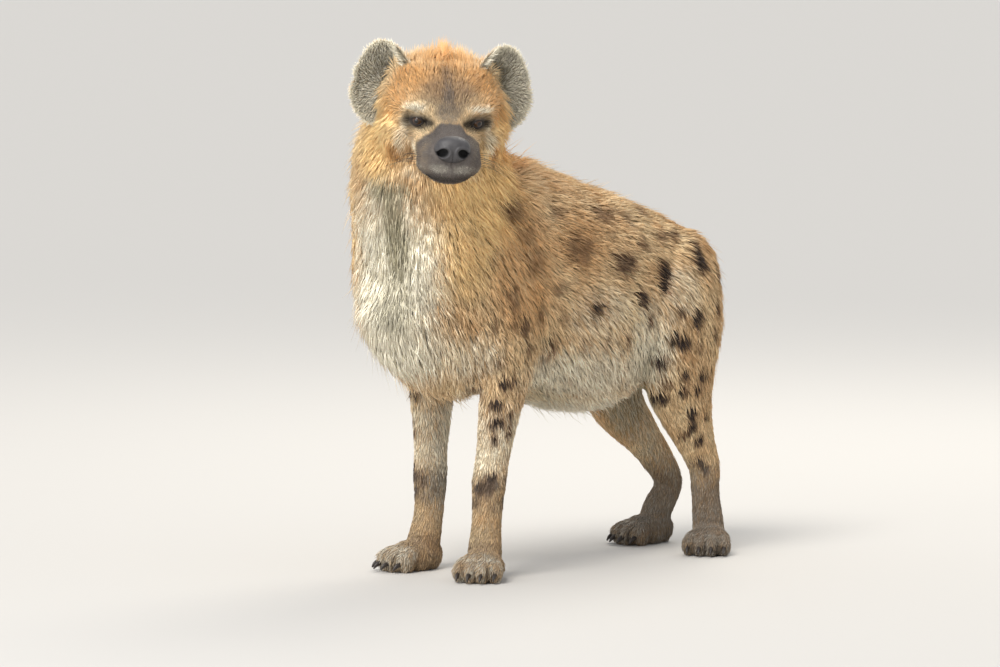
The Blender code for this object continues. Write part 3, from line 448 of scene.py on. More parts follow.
# Zones of the coat: place and the way the hair lies, then length and width in mm and lift in degrees. A zone
# with x above 35 mm on the body, or above 0 on the head, is on both sides.
bodyZones = {
    "withers": (0, -200, 800, 0, 1, -0.1, 57, 3.2, 41), "back": (0, -20, 750, 0, 1, -0.1, 50, 3, 37),
    "loin": (0, 130, 715, 0, 1, -0.25, 43, 3, 33), "rump": (0, 280, 650, 0, 0.8, -0.6, 35, 2.8, 28),
    "rumpEnd": (0, 370, 580, 0, 0.3, -1, 27, 2.8, 22), "saddle": (90, -100, 730, 0.1, 1, -0.4, 34, 3, 24),
    "hip": (90, 200, 670, 0.1, 1, -0.5, 31, 2.8, 22), "ribsFront": (155, -120, 600, 0, 1, -0.5, 32, 2.8, 21),
    "ribs": (155, 30, 570, 0, 1, -0.5, 31, 2.8, 21), "flank": (145, 130, 550, 0, 0.9, -0.6, 31, 2.8, 21),
    "ribsLow": (140, -50, 420, 0, 0.65, -0.9, 43, 3, 29), "flankLow": (120, 120, 410, 0, 0.55, -0.9, 43, 3, 30),
    "belly": (40, 20, 320, 0, 0.7, -0.8, 52, 3, 41), "bellyEnd": (30, 140, 350, 0, 1, -0.2, 27, 2.8, 22),
    "chest": (0, -440, 560, 0, 0.1, -1, 52, 3.4, 33), "brisket": (0, -360, 420, 0, 0.3, -1, 57, 3.4, 39),
    "breast": (110, -400, 560, 0.15, 0.45, -1, 48, 3.2, 30),
    "shoulder": (150, -260, 630, 0, 0.55, -0.9, 34, 3, 22), "arm": (155, -270, 500, 0, 0.4, -1, 31, 2.8, 22),
    "elbow": (145, -240, 410, 0, 0.4, -1, 23, 2.6, 21), "armpit": (60, -180, 380, 0, 0.6, -1, 30, 2.8, 24),
    "haunch": (145, 240, 560, 0, 0.5, -1, 28, 2.7, 21), "thigh": (150, 240, 440, 0, 0.35, -1, 25, 2.6, 20),
    "thighFront": (120, 130, 440, 0, 0.1, -1, 27, 2.6, 22), "buttock": (80, 350, 470, 0, 0.25, -1, 39, 2.8, 30),
    "groin": (40, 200, 380, 0, 0.3, -1, 17, 2.4, 18), "knee": (120, 220, 320, 0, 0.5, -1, 19, 2.4, 18),
    "neckHigh": (140, -340, 840, 0.1, 0.5, -0.9, 48, 3.2, 33),
    "neckSide": (150, -310, 740, 0.05, 0.55, -0.9, 50, 3.2, 32),
    "neckFar": (-130, -340, 800, 0, 0.5, -0.9, 52, 3.2, 37), "nape": (20, -230, 870, 0, 0.9, -0.5, 55, 3.4, 46),
    "neckFront": (30, -450, 760, 0, 0.05, -1, 48, 3.2, 32), "throat": (60, -450, 820, 0.1, 0.1, -1, 39, 3, 30),
    "tailTop": (0, 400, 530, 0, 0.1, -1, 23, 2.6, 22), "tailEnd": (0, 396, 420, 0, 0, -1, 52, 3, 17),
}
# On the legs: height, how far the hair leans back, then the same three.
legZones = {
    "fore": (
        (400, 0.2, 21, 2.4, 19), (330, 0.1, 17, 2.2, 18), (240, 0, 14, 2.1, 17), (150, 0, 13, 2, 17),
        (90, -0.3, 11, 2, 16),
    ),
    "hind": (
        (370, 0.3, 21, 2.4, 18), (290, 0.4, 18, 2.2, 17), (220, 0.4, 15, 2.1, 17), (150, 0, 13, 2, 17),
        (90, -0.3, 11, 2, 16),
    ),
}
headZones = {
    "noseTop": (0, -210, -32, 0, 1, 0.15, 4, 1.3, 10), "bridge": (0, -150, -28, 0, 1, 0.5, 5, 1.4, 11),
    "muzzleSide": (55, -190, -75, 0.1, 1, -0.2, 5, 1.4, 12),
    "muzzleRear": (60, -150, -70, 0.2, 1, -0.2, 7, 1.6, 14),
    "upperLip": (35, -225, -95, 0.3, 0.6, -0.6, 4, 1.3, 10), "chin": (0, -205, -130, 0, 0.7, -0.7, 9, 1.7, 18),
    "jaw": (50, -150, -128, 0.2, 0.9, -0.5, 12, 2, 18),
    "jawRear": (75, -100, -125, 0.2, 0.8, -0.8, 18, 2.4, 20),
    "betweenEyes": (0, -125, -18, 0, 0.5, 1, 6, 1.5, 14), "brow": (55, -115, -12, 0.35, 0.5, 1, 8, 1.6, 20),
    "underEye": (70, -125, -58, 0.6, 1, -0.3, 6, 1.5, 14), "innerEye": (30, -130, -40, 0, 1, 0.4, 5, 1.4, 12),
    "cheekFront": (88, -95, -70, 0.4, 1, -0.5, 14, 1.9, 19),
    "cheek": (112, -45, -65, 0.25, 0.9, -0.6, 30, 2.5, 27),
    "cheekLow": (100, -30, -115, 0.2, 0.6, -0.9, 36, 2.8, 27), "forehead": (0, -90, 20, 0, 0.6, 1, 11, 1.8, 20),
    "foreheadHigh": (0, -50, 48, 0, 0.5, 1, 26, 2, 44), "temple": (85, -75, 10, 0.35, 0.7, 0.6, 12, 1.9, 18),
    "templeHigh": (70, -40, 40, 0.4, 0.5, 0.9, 16, 2, 24), "crown": (0, -8, 62, 0, -0.1, 1, 78, 2.2, 84),
    "crownSide": (42, 0, 55, 0.15, 0.2, 1, 38, 2.3, 66), "poll": (0, 50, 45, 0, 0.8, 0.5, 46, 2.6, 55),
    "headBack": (60, 80, 0, 0.1, 1, -0.4, 30, 2.8, 26), "earBack": (100, 45, -20, 0.3, 0.8, -0.5, 26, 2.6, 24),
}


zoneReach = {"body": 0.075, "legs": 0.045, "head": 0.026}


def zoneTable():
    rows = []
    for x, y, z, *rest in bodyZones.values():
        for s in (1, -1) if x > 35 else (1,):
            spot = np.array((s * x, y, z)) / 1000
            rows.append((spot, sided(s, rest[:3]), zoneReach["body"], *rest[3:]))
    for kind, side in limbs:
        axis = between([r[:3] for r in legRows(kind, side)], 10)
        for height, lean, *sizes in legZones[kind]:
            spot = axis[np.abs(axis[:, 2] - height / 1000).argmin()]
            rows.append((spot, (0, lean, -1), zoneReach["legs"], *sizes))
    turn = np.array(headMatrix.to_3x3())
    for x, y, z, *rest in headZones.values():
        for s in (1, -1) if x else (1,):
            spot = np.array(headMatrix @ Vector(np.array((s * x, y, z)) / 1000))
            rows.append((spot, turn @ np.array(sided(s, rest[:3])), zoneReach["head"], *rest[3:]))
    return rows


def alongSkin(ways, normals):
    return ways - normals * (ways * normals).sum(1)[:, None]


def coatFields(points, normals):
    # the lie of the hair, and its length, width and lift, at every point of the skin
    total = np.full(len(points), 1e-9)
    lie, sizes = np.zeros_like(points), np.zeros_like(points)
    for place, way, reach, *values in zoneTable():
        gap = ((points - place) ** 2).sum(1)
        share = np.exp(-gap / (reach * reach)) + 1e-5 / (gap / (reach * reach) + 1)
        total += share
        lie += share[:, None] * unit(np.asarray(way, float))
        sizes += share[:, None] * np.array(values, float)
    return unit(alongSkin(lie, normals)), sizes / total[:, None]


# Each spot: its middle on the left side, half length along the body, half height, and its darkness in percent.
spotTable = (
    (150, 25, 595, 31, 25, 72), (144, 145, 562, 19, 37, 85), (139, 243, 599, 18, 28, 80),
    (155, -55, 515, 18, 16, 85), (152, 76, 525, 15, 16, 80), (147, 109, 490, 10, 15, 70),
    (158, 181, 501, 13, 13, 75), (163, 224, 485, 12, 24, 100), (156, 170, 442, 15, 15, 85),
    (156, 190, 436, 14, 18, 90), (136, 149, 399, 14, 14, 100), (150, 200, 368, 11, 12, 95),
    (142, 203, 332, 14, 12, 85), (152, 254, 362, 13, 13, 90), (108, 169, 322, 15, 12, 90),
    (132, 169, 350, 10, 9, 60), (147, 241, 335, 9, 13, 80), (135, 240, 287, 11, 12, 90),
    (128, 249, 260, 11, 12, 90), (132, 282, 276, 9, 10, 80), (122, 270, 229, 11, 11, 90),
    (114, 236, 244, 9, 9, 70), (107, 283, 183, 10, 9, 80), (112, 298, 171, 11, 11, 90),
    (148, -18, 455, 8, 18, 60), (147, 40, 455, 8, 18, 70), (157, -163, 559, 15, 13, 50),
    (140, -155, 439, 7, 28, 65), (146, -76, 454, 10, 10, 50), (132, -39, 401, 9, 10, 40),
    (116, -82, 379, 8, 8, 40), (154, -103, 630, 40, 32, 55), (115, -11, 690, 34, 15, 55),
    (136, 86, 629, 18, 12, 55), (110, 196, 643, 17, 11, 60), (146, -275, 722, 28, 22, 60),
    (150, -245, 674, 30, 18, 45), (160, -282, 553, 16, 30, 55), (155, -223, 618, 26, 30, 42),
    (165, -250, 490, 16, 20, 65), (158, -319, 502, 10, 14, 60), (165, -281, 500, 9, 11, 60),
    (154, -197, 510, 13, 18, 50), (160, -228, 446, 10, 13, 60), (145, -301, 421, 8, 9, 80),
    (137, -275, 379, 10, 10, 100), (146, -258, 386, 9, 9, 85), (124, -281, 337, 10, 11, 95),
    (123, -280, 305, 12, 10, 85), (132, -255, 313, 8, 14, 80), (129, -251, 284, 8, 10, 80),
    (122, -279, 272, 8, 11, 80), (120, -289, 195, 14, 13, 100), (110, -300, 178, 18, 12, 85),
    (155, 288, 500, 10, 13, 70), (160, 236, 420, 9, 10, 60), (154, 287, 446, 9, 12, 70),
    (125, 330, 420, 10, 14, 75), (110, 340, 520, 12, 20, 70), (120, 310, 565, 14, 16, 75),
    (130, 157, 640, 14, 12, 50), (155, -143, 500, 12, 14, 45), (112, 60, 680, 20, 12, 45),
    (90, 130, 690, 18, 12, 50), (90, 360, 360, 12, 14, 80), (100, 345, 300, 11, 12, 80),
    (130, -150, 700, 26, 14, 40), (20, 335, 640, 14, 12, 60), (50, 250, 690, 15, 12, 60),
    (45, 360, 560, 10, 14, 60), (80, -215, 330, 10, 12, 70), (85, -300, 360, 9, 12, 60),
)
# Soft patches of the other colours: middle, radii and strength in percent. One off the middle is on both sides.
bodyPatches = {
    "cream": (
        (20, -455, 590, 95, 80, 165, 100), (0, -420, 470, 110, 90, 80, 100), (30, -470, 730, 55, 60, 70, 70),
        (110, -330, 440, 50, 60, 50, 50), (120, -60, 385, 60, 160, 65, 75), (110, 110, 420, 60, 70, 80, 85),
        (0, 40, 320, 100, 160, 50, 80), (160, 110, 470, 40, 60, 60, 45), (60, -300, 330, 35, 40, 70, 45),
        (70, -230, 250, 22, 40, 130, 70), (170, 180, 540, 40, 50, 60, 35), (150, -40, 500, 50, 80, 50, 30),
    ),
    "rust": (
        (70, -300, 860, 90, 100, 60, 75), (20, -200, 820, 80, 80, 70, 60), (150, -250, 600, 60, 80, 120, 40),
        (140, -100, 640, 60, 80, 60, 40),
    ),
    "gold": (
        (150, -340, 760, 80, 100, 100, 90), (-130, -380, 740, 80, 90, 130, 90),
        (130, -380, 640, 50, 60, 80, 70),
    ),
    # painted shadow: the first three grey patches darken the throat under the chin and down the front of the
    # neck and chest
    "grey": (
        (45, -475, 690, 22, 50, 110, 75), (50, -470, 790, 55, 60, 45, 85), (40, -475, 560, 28, 60, 60, 40),
        (0, -100, 345, 100, 120, 40, 35), (95, 140, 400, 50, 60, 45, 35), (50, 190, 370, 50, 70, 90, 90),
        (60, 250, 330, 40, 60, 100, 60),
    ),
    "brown": (
        (0, -30, 752, 22, 220, 30, 60), (0, 180, 700, 22, 100, 30, 50), (0, -180, 800, 30, 60, 30, 35),
    ),
}
headPatches = {
    "charcoal": (
        (0, -138, -18, 24, 34, 16, 60), (0, -105, 4, 11, 30, 26, 55), (0, -80, 38, 10, 30, 18, 35),
    ),
    "brown": (
        (0, -105, 12, 52, 50, 32, 62), (0, -80, 38, 22, 30, 26, 45), (70, -125, -62, 20, 20, 10, 30),
        (96, -80, -100, 8, 24, 14, 45), (0, -218, -120, 30, 20, 10, 45),
    ),
    "rust": (
        (0, -20, 70, 90, 80, 40, 55), (70, -70, 30, 45, 50, 30, 75), (95, -75, -5, 30, 40, 30, 60),
        (0, -80, 30, 70, 50, 35, 50), (96, -80, -98, 14, 24, 24, 90),
    ),
    "cream": (
        (56, -114, -12, 21, 24, 7, 85), (74, -138, -92, 16, 30, 30, 100), (82, -118, -72, 12, 20, 30, 60),
        (64, -130, -126, 28, 40, 14, 85), (80, -120, -48, 12, 20, 12, 45), (0, -180, -145, 42, 40, 10, 80),
    ),
    "gold": (
        (105, -60, -60, 30, 50, 50, 80), (110, -30, -80, 50, 60, 70, 90), (80, 0, -120, 60, 70, 40, 90),
    ),
    "black": (
        (55.5, -128, -36, 26, 38, 13.8, 100), (37, -137, -36, 13, 28, 7, 90), (18, -224, -114, 36, 22, 9, 60),
    ),
    "light": (
        (22, -236, -92, 20, 20, 8, 34), (46, -195, -96, 16, 32, 7, 30),
    ),
}
# How far back the dark muzzle reaches, by height on the head, and the pale line down its side from the eye.
muzzleEdge = metres(
    (-150, -190), (-125, -168), (-105, -152), (-85, -150), (-70, -156), (-55, -170), (-42, -168), (-30, -158),
    (-15, -180), (0, -200),
)
tearLine = metres(
    (33, -150, -40), (44, -160, -52), (52, -168, -68), (57, -172, -88),
)
maskNames = ("cream", "rust", "gold", "grey", "brown", "charcoal", "spots", "black", "light")
maskFields = ("marksA", "marksB", "marksC")  # three masks in each


def patchMasks(points, patches, masks, offMiddle, gate=None):
    for name, rows in patches.items():
        for x, y, z, *radii, strength in rows:
            for s in (1, -1) if x > offMiddle else (1,):
                off = (points - np.array((s * x, y, z)) / 1000) / (np.array(radii) / 1000)
                value = strength / 100 * smooth(-np.linalg.norm(off, axis=1), -1.45, -0.55)
                masks[name] = np.maximum(masks[name], value if gate is None else value * gate)


def spotMask(points):
    mask = np.zeros(len(points))
    ragged = [cloudy(points, 0.016, k) + 0.5 * cloudy(points, 0.007, k + 5) for k in (31, 32, 33)]
    ragged = points + 0.006 * np.stack(ragged, 1)
    draw = np.random.default_rng(5)
    for side in (1, -1):
        far = side < 0  # the far side's spots are moved and resized a little
        for *spot, dark in spotTable:
            x, y, z, a, b = metres(spot)[0]
            dark = dark / 100
            jitter = draw.uniform(-1, 1, 3) * (0.014 if far else 0.0)
            swell = 1 + draw.uniform(-0.2, 0.2) * far
            kind, rows = ("fore", foreRows) if y < 0 else ("hind", hindRows)
            shifts = body[f"{kind}RightShifts"]
            ahead = np.interp(-z, [-row[2] for row in rows], shifts) if far and z < 0.40 else 0.0
            centre = np.array((side * x, y + ahead, z)) + jitter
            off = (ragged - centre) / (max(0.05 if z > 0.4 else 0.026, a), a * swell, b * swell)
            soft = 0.22 + 9 * min(a, b)
            value = smooth(-np.linalg.norm(off, axis=1), -1.12 - soft * 0.5, -1.12 + soft)
            mask = np.maximum(mask, min(1.0, dark * 1.15) * value)
    return mask


def markings(points, tags):
    masks = {name: np.zeros(len(points)) for name in maskNames}

    def raised(name, value):
        masks[name] = np.maximum(masks[name], value)

    patchMasks(points, bodyPatches, masks, 50)
    local = moved(points, headMatrix.inverted())
    onHead = smooth(-local[:, 1], -0.11, -0.06) * smooth(local[:, 2], -0.165, -0.138)
    for name in ("cream", "grey", "brown"):
        masks[name] = masks[name] * (1 - onHead * (np.abs(local[:, 0]) < 0.14))
    patchMasks(local, headPatches, masks, 1, onHead)
    # the dark muzzle
    heights, edges = zip(*muzzleEdge)
    ragged = local + 0.0035 * raggedly(points, 0.006, (41, 42, 43))
    dark = onHead * smooth(np.interp(ragged[:, 2], heights, edges) - ragged[:, 1], -0.006, 0.007)
    dark *= 1 - 0.80 * np.exp(-(lineGap(leftward(ragged), tearLine) / 0.0036) ** 2)
    smudge = 0.5 + 0.5 * cloudy(local, 0.016, 51)
    dark *= 1 - 0.22 * smudge * smooth(np.abs(local[:, 0]), 0.030, 0.050)
    dark *= 1 - 0.70 * smooth(-ragged[:, 2], 0.122, 0.132)
    raised("charcoal", 0.96 * dark)
    for name in ("cream", "rust", "gold"):
        masks[name] = masks[name] * (1 - 0.9 * dark)
    raised("black", onHead * smooth(-lineGap(leftward(local), lips["line"]), -0.0100, -0.0065))
    # legs and tail
    x, y, z = np.abs(points[:, 0]), points[:, 1], points[:, 2]
    onTail = tags == tagOf["tail"]
    cloud = cloudy(points, 0.030, 3) * 0.5 + cloudy(points, 0.012, 4) * 0.5
    leg = smooth(-z, -0.36, -0.30) * ~onTail
    fore, hind = leg * (y < 0), leg * (y >= 0)
    wrist = smooth(z, 0.120, 0.150) * smooth(-z, -0.215, -0.180)
    shin = smooth(-z, -0.110, -0.060)
    raised("brown", fore * np.maximum(0.90 * wrist * smooth(cloud, -0.75, 0.15), 0.62 * shin))
    raised("brown", fore * 0.35 * smooth(-z, -0.180, -0.120))
    raised("brown", hind * 0.85 * smooth(-z, -0.210, -0.120))
    raised("charcoal", fore * 0.50 * wrist * smooth(cloudy(points, 0.010, 61), -0.2, 0.5))
    raised("charcoal", hind * 0.45 * smooth(-z, -0.140, -0.06) * smooth(cloud, -0.6, 0.4))
    raised("charcoal", onTail * smooth(-z, -0.47, -0.40))
    inner = smooth(0.075 - x, -0.010, 0.020) * leg
    raised("light", inner * 0.35 * smooth(z, 0.08, 0.14))
    raised("cream", fore * 0.50 * smooth(z, 0.16, 0.24))
    raised("light", hind * 0.14 * smooth(-z, -0.22, -0.14))
    # painted shade: dark seams in the gaps between pale toes
    half, r = paw["width"] / 2 - paw["toeRadius"], paw["toeRadius"]
    for kind, side in limbs:
        own = moved(points, pawPlace(kind, side).inverted())
        here = (tags == tagOf["paws"]) & (np.linalg.norm(own[:, :2] + (0, 0.03), axis=1) < 0.09)
        spread = np.interp(-own[:, 1], [0.010, 0.045, 0.085], [0.60, 0.85, 1.02]) * half
        off = np.min([np.abs(own[:, 0] - share * spread) for _, share, _ in toePlaces()], axis=0)
        toes = here * smooth(-own[:, 1], 0.030, 0.055)
        toeGapShade = smooth(off, r * 0.55, r * 0.88) * (np.abs(own[:, 0]) < spread)
        raised("black", toes * 0.92 * toeGapShade)
        paler = 0.55 if kind == "fore" else 0.25
        raised("light", toes * paler * (1 - toeGapShade) * smooth(cloud, -0.7, 0.3))
    masks["spots"] = spotMask(points) * (1 - onHead * (local[:, 1] < 0.02)) * ~onTail
    return masks


# Lids, lips and folds, in the head's own frame.
lids = {"halfWidth": 0.0124, "above": 0.0076, "below": 0.0072, "rim": 1.10, "sunk": 0.80, "reach": 1.75}
lips = {
    "line": (
        (0.0, -0.232, -0.1015), (0.0237, -0.222, -0.1095), (0.0387, -0.205, -0.1105), (0.0577, -0.180, -0.1080),
        (0.0654, -0.160, -0.1040),
    ),
    "groove": 0.0055, "width": 0.0030, "swell": 0.0022, "swellAt": 0.0070, "swellWidth": 0.0034,
    "philtrum": ((0.0, -0.240, -0.080), (0.0, -0.236, -0.102)),
    "philtrumDepth": 0.0022, "philtrumWidth": 0.0016,
}
folds = (
    # middle, radii and how far the skin moves out, on both sides
    ((0.036, -0.150, -0.038), (0.010, 0.022, 0.010), -0.0030),
    ((0.075, -0.110, -0.030), (0.010, 0.016, 0.012), -0.0020),
    ((0.045, -0.200, -0.082), (0.016, 0.026, 0.014), 0.0020),
    ((0.062, -0.150, -0.100), (0.012, 0.020, 0.012), -0.0022),
    ((0.020, -0.118, -0.008), (0.008, 0.016, 0.012), -0.0016),
    ((0.064, -0.125, -0.060), (0.014, 0.014, 0.006), 0.0014),
)


def refined(obj, chosen, rounds):
    for _ in range(rounds):
        inside = chosen(moved(pointsOf(obj.data), headMatrix.inverted()))
        with edited(obj) as bm:
            edges = [e for e in bm.edges if inside[e.verts[0].index] and inside[e.verts[1].index]]
            bmesh.ops.subdivide_edges(bm, edges=edges, cuts=1, use_grid_fill=True, smooth=0.0)


def lineGap(points, line):
    found = np.full(len(points), 1e9)
    for a, b in zip(line, line[1:]):
        a, b = np.array(a), np.array(b)
        t = np.clip(((points - a) @ (b - a)) / ((b - a) @ (b - a)), 0, 1)
        found = np.minimum(found, np.linalg.norm(points - a - t[:, None] * (b - a), axis=1))
    return found


def folded(p):
    # both sides of the head onto its left
    return np.stack([np.abs(p[:, 0]), p[:, 1], p[:, 2]], 1)


def leftward(p):
    # as folded, for points of the muzzle, which lie ahead of and under the head's middle
    return np.abs(p) * (1, -1, -1)


def eyeFrame(s):
    turn = spin(s * head["eyeOutward"], "Z") @ spin(-s * head["eyeSlant"], "Y")
    return Matrix.Translation(sided(s, head["eyePlace"])) @ turn


def eyeGap(p):
    return np.minimum(*[np.linalg.norm(p - np.array(eyeFrame(s).translation), axis=1) for s in (1, -1)])


def nearMouth(p):
    return (lineGap(folded(p), lips["line"]) < 0.010) | (lineGap(p, lips["philtrum"]) < 0.006)


def sculpted(obj):
    refined(obj, lambda p: eyeGap(p) < 0.026, 2)
    refined(obj, nearMouth, 2)
    local = moved(pointsOf(obj.data), headMatrix.inverted())
    normals = normalsOf(obj.data) @ np.array(headMatrix.to_3x3())
    gap = lineGap(folded(local), lips["line"])
    push = -lips["groove"] * np.exp(-(gap / lips["width"]) ** 2)
    push += lips["swell"] * np.exp(-((gap - lips["swellAt"]) / lips["swellWidth"]) ** 2)
    gap = lineGap(local, lips["philtrum"])
    push -= lips["philtrumDepth"] * np.exp(-(gap / lips["philtrumWidth"]) ** 2)
    # the skin behind the nose pad keeps clear of its nostrils
    behind = np.linalg.norm((local - np.array(nose["place"])) / np.array(nose["radii"]), axis=1)
    local = local + np.array((0, nose["clear"], 0)) * smooth(-behind, -1.0, -0.80)[:, None]
    for centre, radii, out in folds:
        off = (folded(local) - np.array(centre)) / np.array(radii)
        push += out * np.exp(-(off ** 2).sum(1))
    local = local + normals * push[:, None]
    radius = head["eyeRadius"]
    for s in (1, -1):
        own = moved(local, eyeFrame(s).inverted())
        u, v, w = own[:, 0] * s / lids["halfWidth"], own[:, 2], -own[:, 1]
        # the inner corner dips towards the nose
        v = v + 0.0008 * np.clip(-u, 0, 1.5)
        v = np.where(v > 0, v / lids["above"], -v / lids["below"])
        level = np.abs(u) ** 1.8 + np.abs(v) ** 1.35
        far = np.linalg.norm(own, axis=1)
        front = smooth(w, -0.002, 0.006) * (far < radius * lids["reach"])
        edge = lids["sunk"] + (lids["rim"] - lids["sunk"]) * smooth(level, 0.80, 1.06)
        swell = 0.05 * np.exp(-((level - 1.30) / 0.30) ** 2) - 0.06 * np.exp(-((level - 2.4) / 0.5) ** 2)
        keep = smooth(level, 1.5, 3.6)
        target = radius * (edge + swell) * (1 - keep) + far * keep
        scale = np.where(front > 0, 1 + front * (target / np.maximum(far, 1e-6) - 1), 1)
        local = moved(own * scale[:, None], eyeFrame(s))
    setPoints(obj.data, moved(local, headMatrix))
    return obj


# The shells of the skin, fused and then moved in by the coat's depth.
tagOf = {"body": 0, "head": 1, "paws": 2, "tail": 3, "earLeft": 4, "earRight": 5}


def madeShells():
    bodyShell = fused("bodyShell", bodyPieces(), body["voxel"], body["smoothing"])
    cut(bodyShell, Vector((0, 0, body["pawTop"] - 0.004)), Vector((0, 0, -1)))
    eased(bodyShell, **body["creases"])
    headShell = fused("headShell", headPieces(), head["voxel"], head["smoothing"])
    cut(headShell, headMatrix @ Vector((0, 0.100, -0.010)), headMatrix.to_3x3() @ Vector((0, 1.0, -0.55)))
    sculpted(headShell)
    paws = []
    for kind, side in limbs:
        pieces = pawPieces(pawPlace(kind, side)) + [loft("end", legRows(kind, side)[-4:], (0, -1, 0), 2.1)]
        shell = fused("pawShell", pieces, paw["voxel"], paw["smoothing"])
        cut(shell, Vector((0, 0, body["pawTop"] + 0.002)), Vector((0, 0, 1)))
        raisedTo(shell.data, paw["sole"])
        paws.append(shell)
    pawShells = addObject("pawShells", meshFrom(gathered(paws), "pawShells"))
    tailShell = loft("tailShell", tailRows, (0, 1, 0), 2.0, 28, 8)
    return bodyShell, headShell, pawShells, tailShell, earShell(1), earShell(-1)


def earFields(points, normals, side):
    place = earFrame(side)
    own = moved(points, place.inverted())
    turned = normals @ np.array(place.to_3x3())
    angle = np.arctan2(own[:, 1], own[:, 0])
    far = np.hypot(own[:, 0], own[:, 1])
    share = far / earReach(angle)
    front = turned[:, 2] > -0.15
    radial = unit(np.stack([own[:, 0], own[:, 1], np.zeros(len(own))], 1) + np.array((0.010, 0.016, 0)))
    inner = smooth(-own[:, 0], 0.010, 0.045)
    wayFront = radial * (1 - 1.5 * inner[:, None]) + np.array((0.55, 0.45, 0.25)) * inner[:, None]
    wayBack = unit(radial + np.array((0, 0.6, 0)))
    lie = np.where(front[:, None], wayFront, wayBack) @ np.array(place.to_3x3()).T
    rim = smooth(share, 0.80, 0.98)
    edge = smooth(share, 0.955, 0.990)
    length = np.where(front, 13 + 9 * inner, 14.0) * (1 - 0.25 * edge)
    lift = np.where(front, 26 + 10 * rim, 24 + 8 * rim) * (1 - edge) + 74 * edge
    sizes = np.stack([length, np.full(len(own), 2.2), lift], 1)
    # painted shade in the ear's hollow: the hair there is mixed towards charcoal and black, and kept from going
    # pale
    hollow = np.hypot((own[:, 0] + 0.020) / 0.017, (own[:, 1] + 0.004) / 0.026)
    hollow = front * smooth(-hollow, -1.3, -0.5)
    grizzle = np.hypot((own[:, 0] + 0.006) / 0.030, (own[:, 1] - 0.018) / 0.030)
    grizzle = front * smooth(-grizzle, -1.3, -0.3) * (1 - rim)
    masks = {
        "cream": np.where(front, 1.0, 0.55 * rim), "rust": np.where(front, 0.0, 0.40),
        "gold": np.where(front, 0.0, 0.2), "grey": np.where(front, 1.0 - rim, 0.0),
        "brown": np.where(front, 0.0, 0.35 * (1 - rim)), "charcoal": np.maximum(hollow * 0.85, grizzle * 0.55),
        "spots": 0.0, "black": hollow * 0.45,
        "light": np.where(front, 0.72 * (1 - rim), 0.0) * (1 - 0.9 * hollow) * (1 - 0.6 * grizzle),
    }
    return unit(alongSkin(lie, normals)), sizes, masks


def madeSkin():
    points, normals, faces, tags = [], [], [], []
    start = 0
    for (name, tag), shell in zip(tagOf.items(), madeShells()):
        points.append(pointsOf(shell.data))
        normals.append(normalsOf(shell.data))
        faces += [[start + v for v in p.vertices] for p in shell.data.polygons]
        tags.append(np.full(len(points[-1]), tag))
        print("shell:", name, len(shell.data.polygons), "faces")
        start += len(points[-1])
        removed(shell)
    points, normals, tags = np.vstack(points), np.vstack(normals), np.concatenate(tags)
    lie, sizes = coatFields(points, normals)
    masks = markings(points, tags)
    for name, side in (("earLeft", 1), ("earRight", -1)):
        here = tags == tagOf[name]
        lie[here], sizes[here], earMasks = earFields(points[here], normals[here], side)
        for mask, values in earMasks.items():
            masks[mask][here] = values
    onPaws = tags == tagOf["paws"]
    local = moved(points, headMatrix.inverted())
    depth = sizes[:, 0] * np.sin(np.radians(sizes[:, 2])) * coat["sunk"]
    depth[(tags == tagOf["head"]) & (local[:, 1] < -0.10)] *= coat["faceShare"]
    depth[onPaws] = np.minimum(depth[onPaws], coat["pawDepth"])
    depth[tags == tagOf["tail"]] = coat["tailDepth"]
    depth[tags > tagOf["tail"]] = coat["earDepth"]
    gap = eyeGap(local)
    depth = depth * smooth(gap, 0.016, 0.028)
    depth = np.where(onPaws, depth * smooth(points[:, 2], 0.001, 0.012), depth)
    points = points - normals * depth[:, None] + np.array(shift)
    mesh = bpy.data.meshes.new("skin")
    mesh.from_pydata(points.tolist(), [], faces)
    mesh.update()
    mesh.shade_smooth()
    # no hair on the eyes, the lips, the nose and the soles
    cover = smooth(gap, 0.0150, 0.0185)
    cover *= 1 - smooth(-lineGap(leftward(local), lips["line"]), -0.0062, -0.0040)
    bare = (local - np.array(nose["place"])) / np.array(nose["bare"])
    cover *= smooth(np.linalg.norm(bare, axis=1), 0.98, 1.06)
    cover *= np.where(onPaws, smooth(points[:, 2] - shift[2], 0.002, 0.006), 1)
    setField(mesh, "lie", lie)
    setField(mesh, "sizes", np.stack([sizes[:, 0] / 1000, sizes[:, 1] / 1000, np.radians(sizes[:, 2])], 1))
    setField(mesh, "cover", cover)
    for k, name in enumerate(maskFields):
        setField(mesh, name, np.stack([masks[mask] for mask in maskNames[3 * k : 3 * k + 3]], 1))
    return addObject("skin", mesh), tags


class Wire:
    # a socket that can be used in sums
    def __init__(self, maker, socket):
        self.maker, self.socket = maker, socket

    def sum(self, operation, *others):
        return self.maker.add("ShaderNodeMath", {"operation": operation}, dict(enumerate((self, *others))))

    def __add__(self, other):
        return self.sum("ADD", other)

    def __sub__(self, other):
        return self.sum("SUBTRACT", other)

    def __mul__(self, other):
        return self.sum("MULTIPLY", other)

    def __truediv__(self, other):
        return self.sum("DIVIDE", other)

    def __pow__(self, other):
        return self.sum("POWER", other)

    def __rsub__(self, other):
        return self.maker.add("ShaderNodeMath", {"operation": "SUBTRACT"}, {0: other, 1: self})

    __radd__, __rmul__ = __add__, __mul__

    def clamped(self):
        return self.maker.add("ShaderNodeMath", {"operation": "ADD", "use_clamp": True}, {0: self, 1: 0.0})


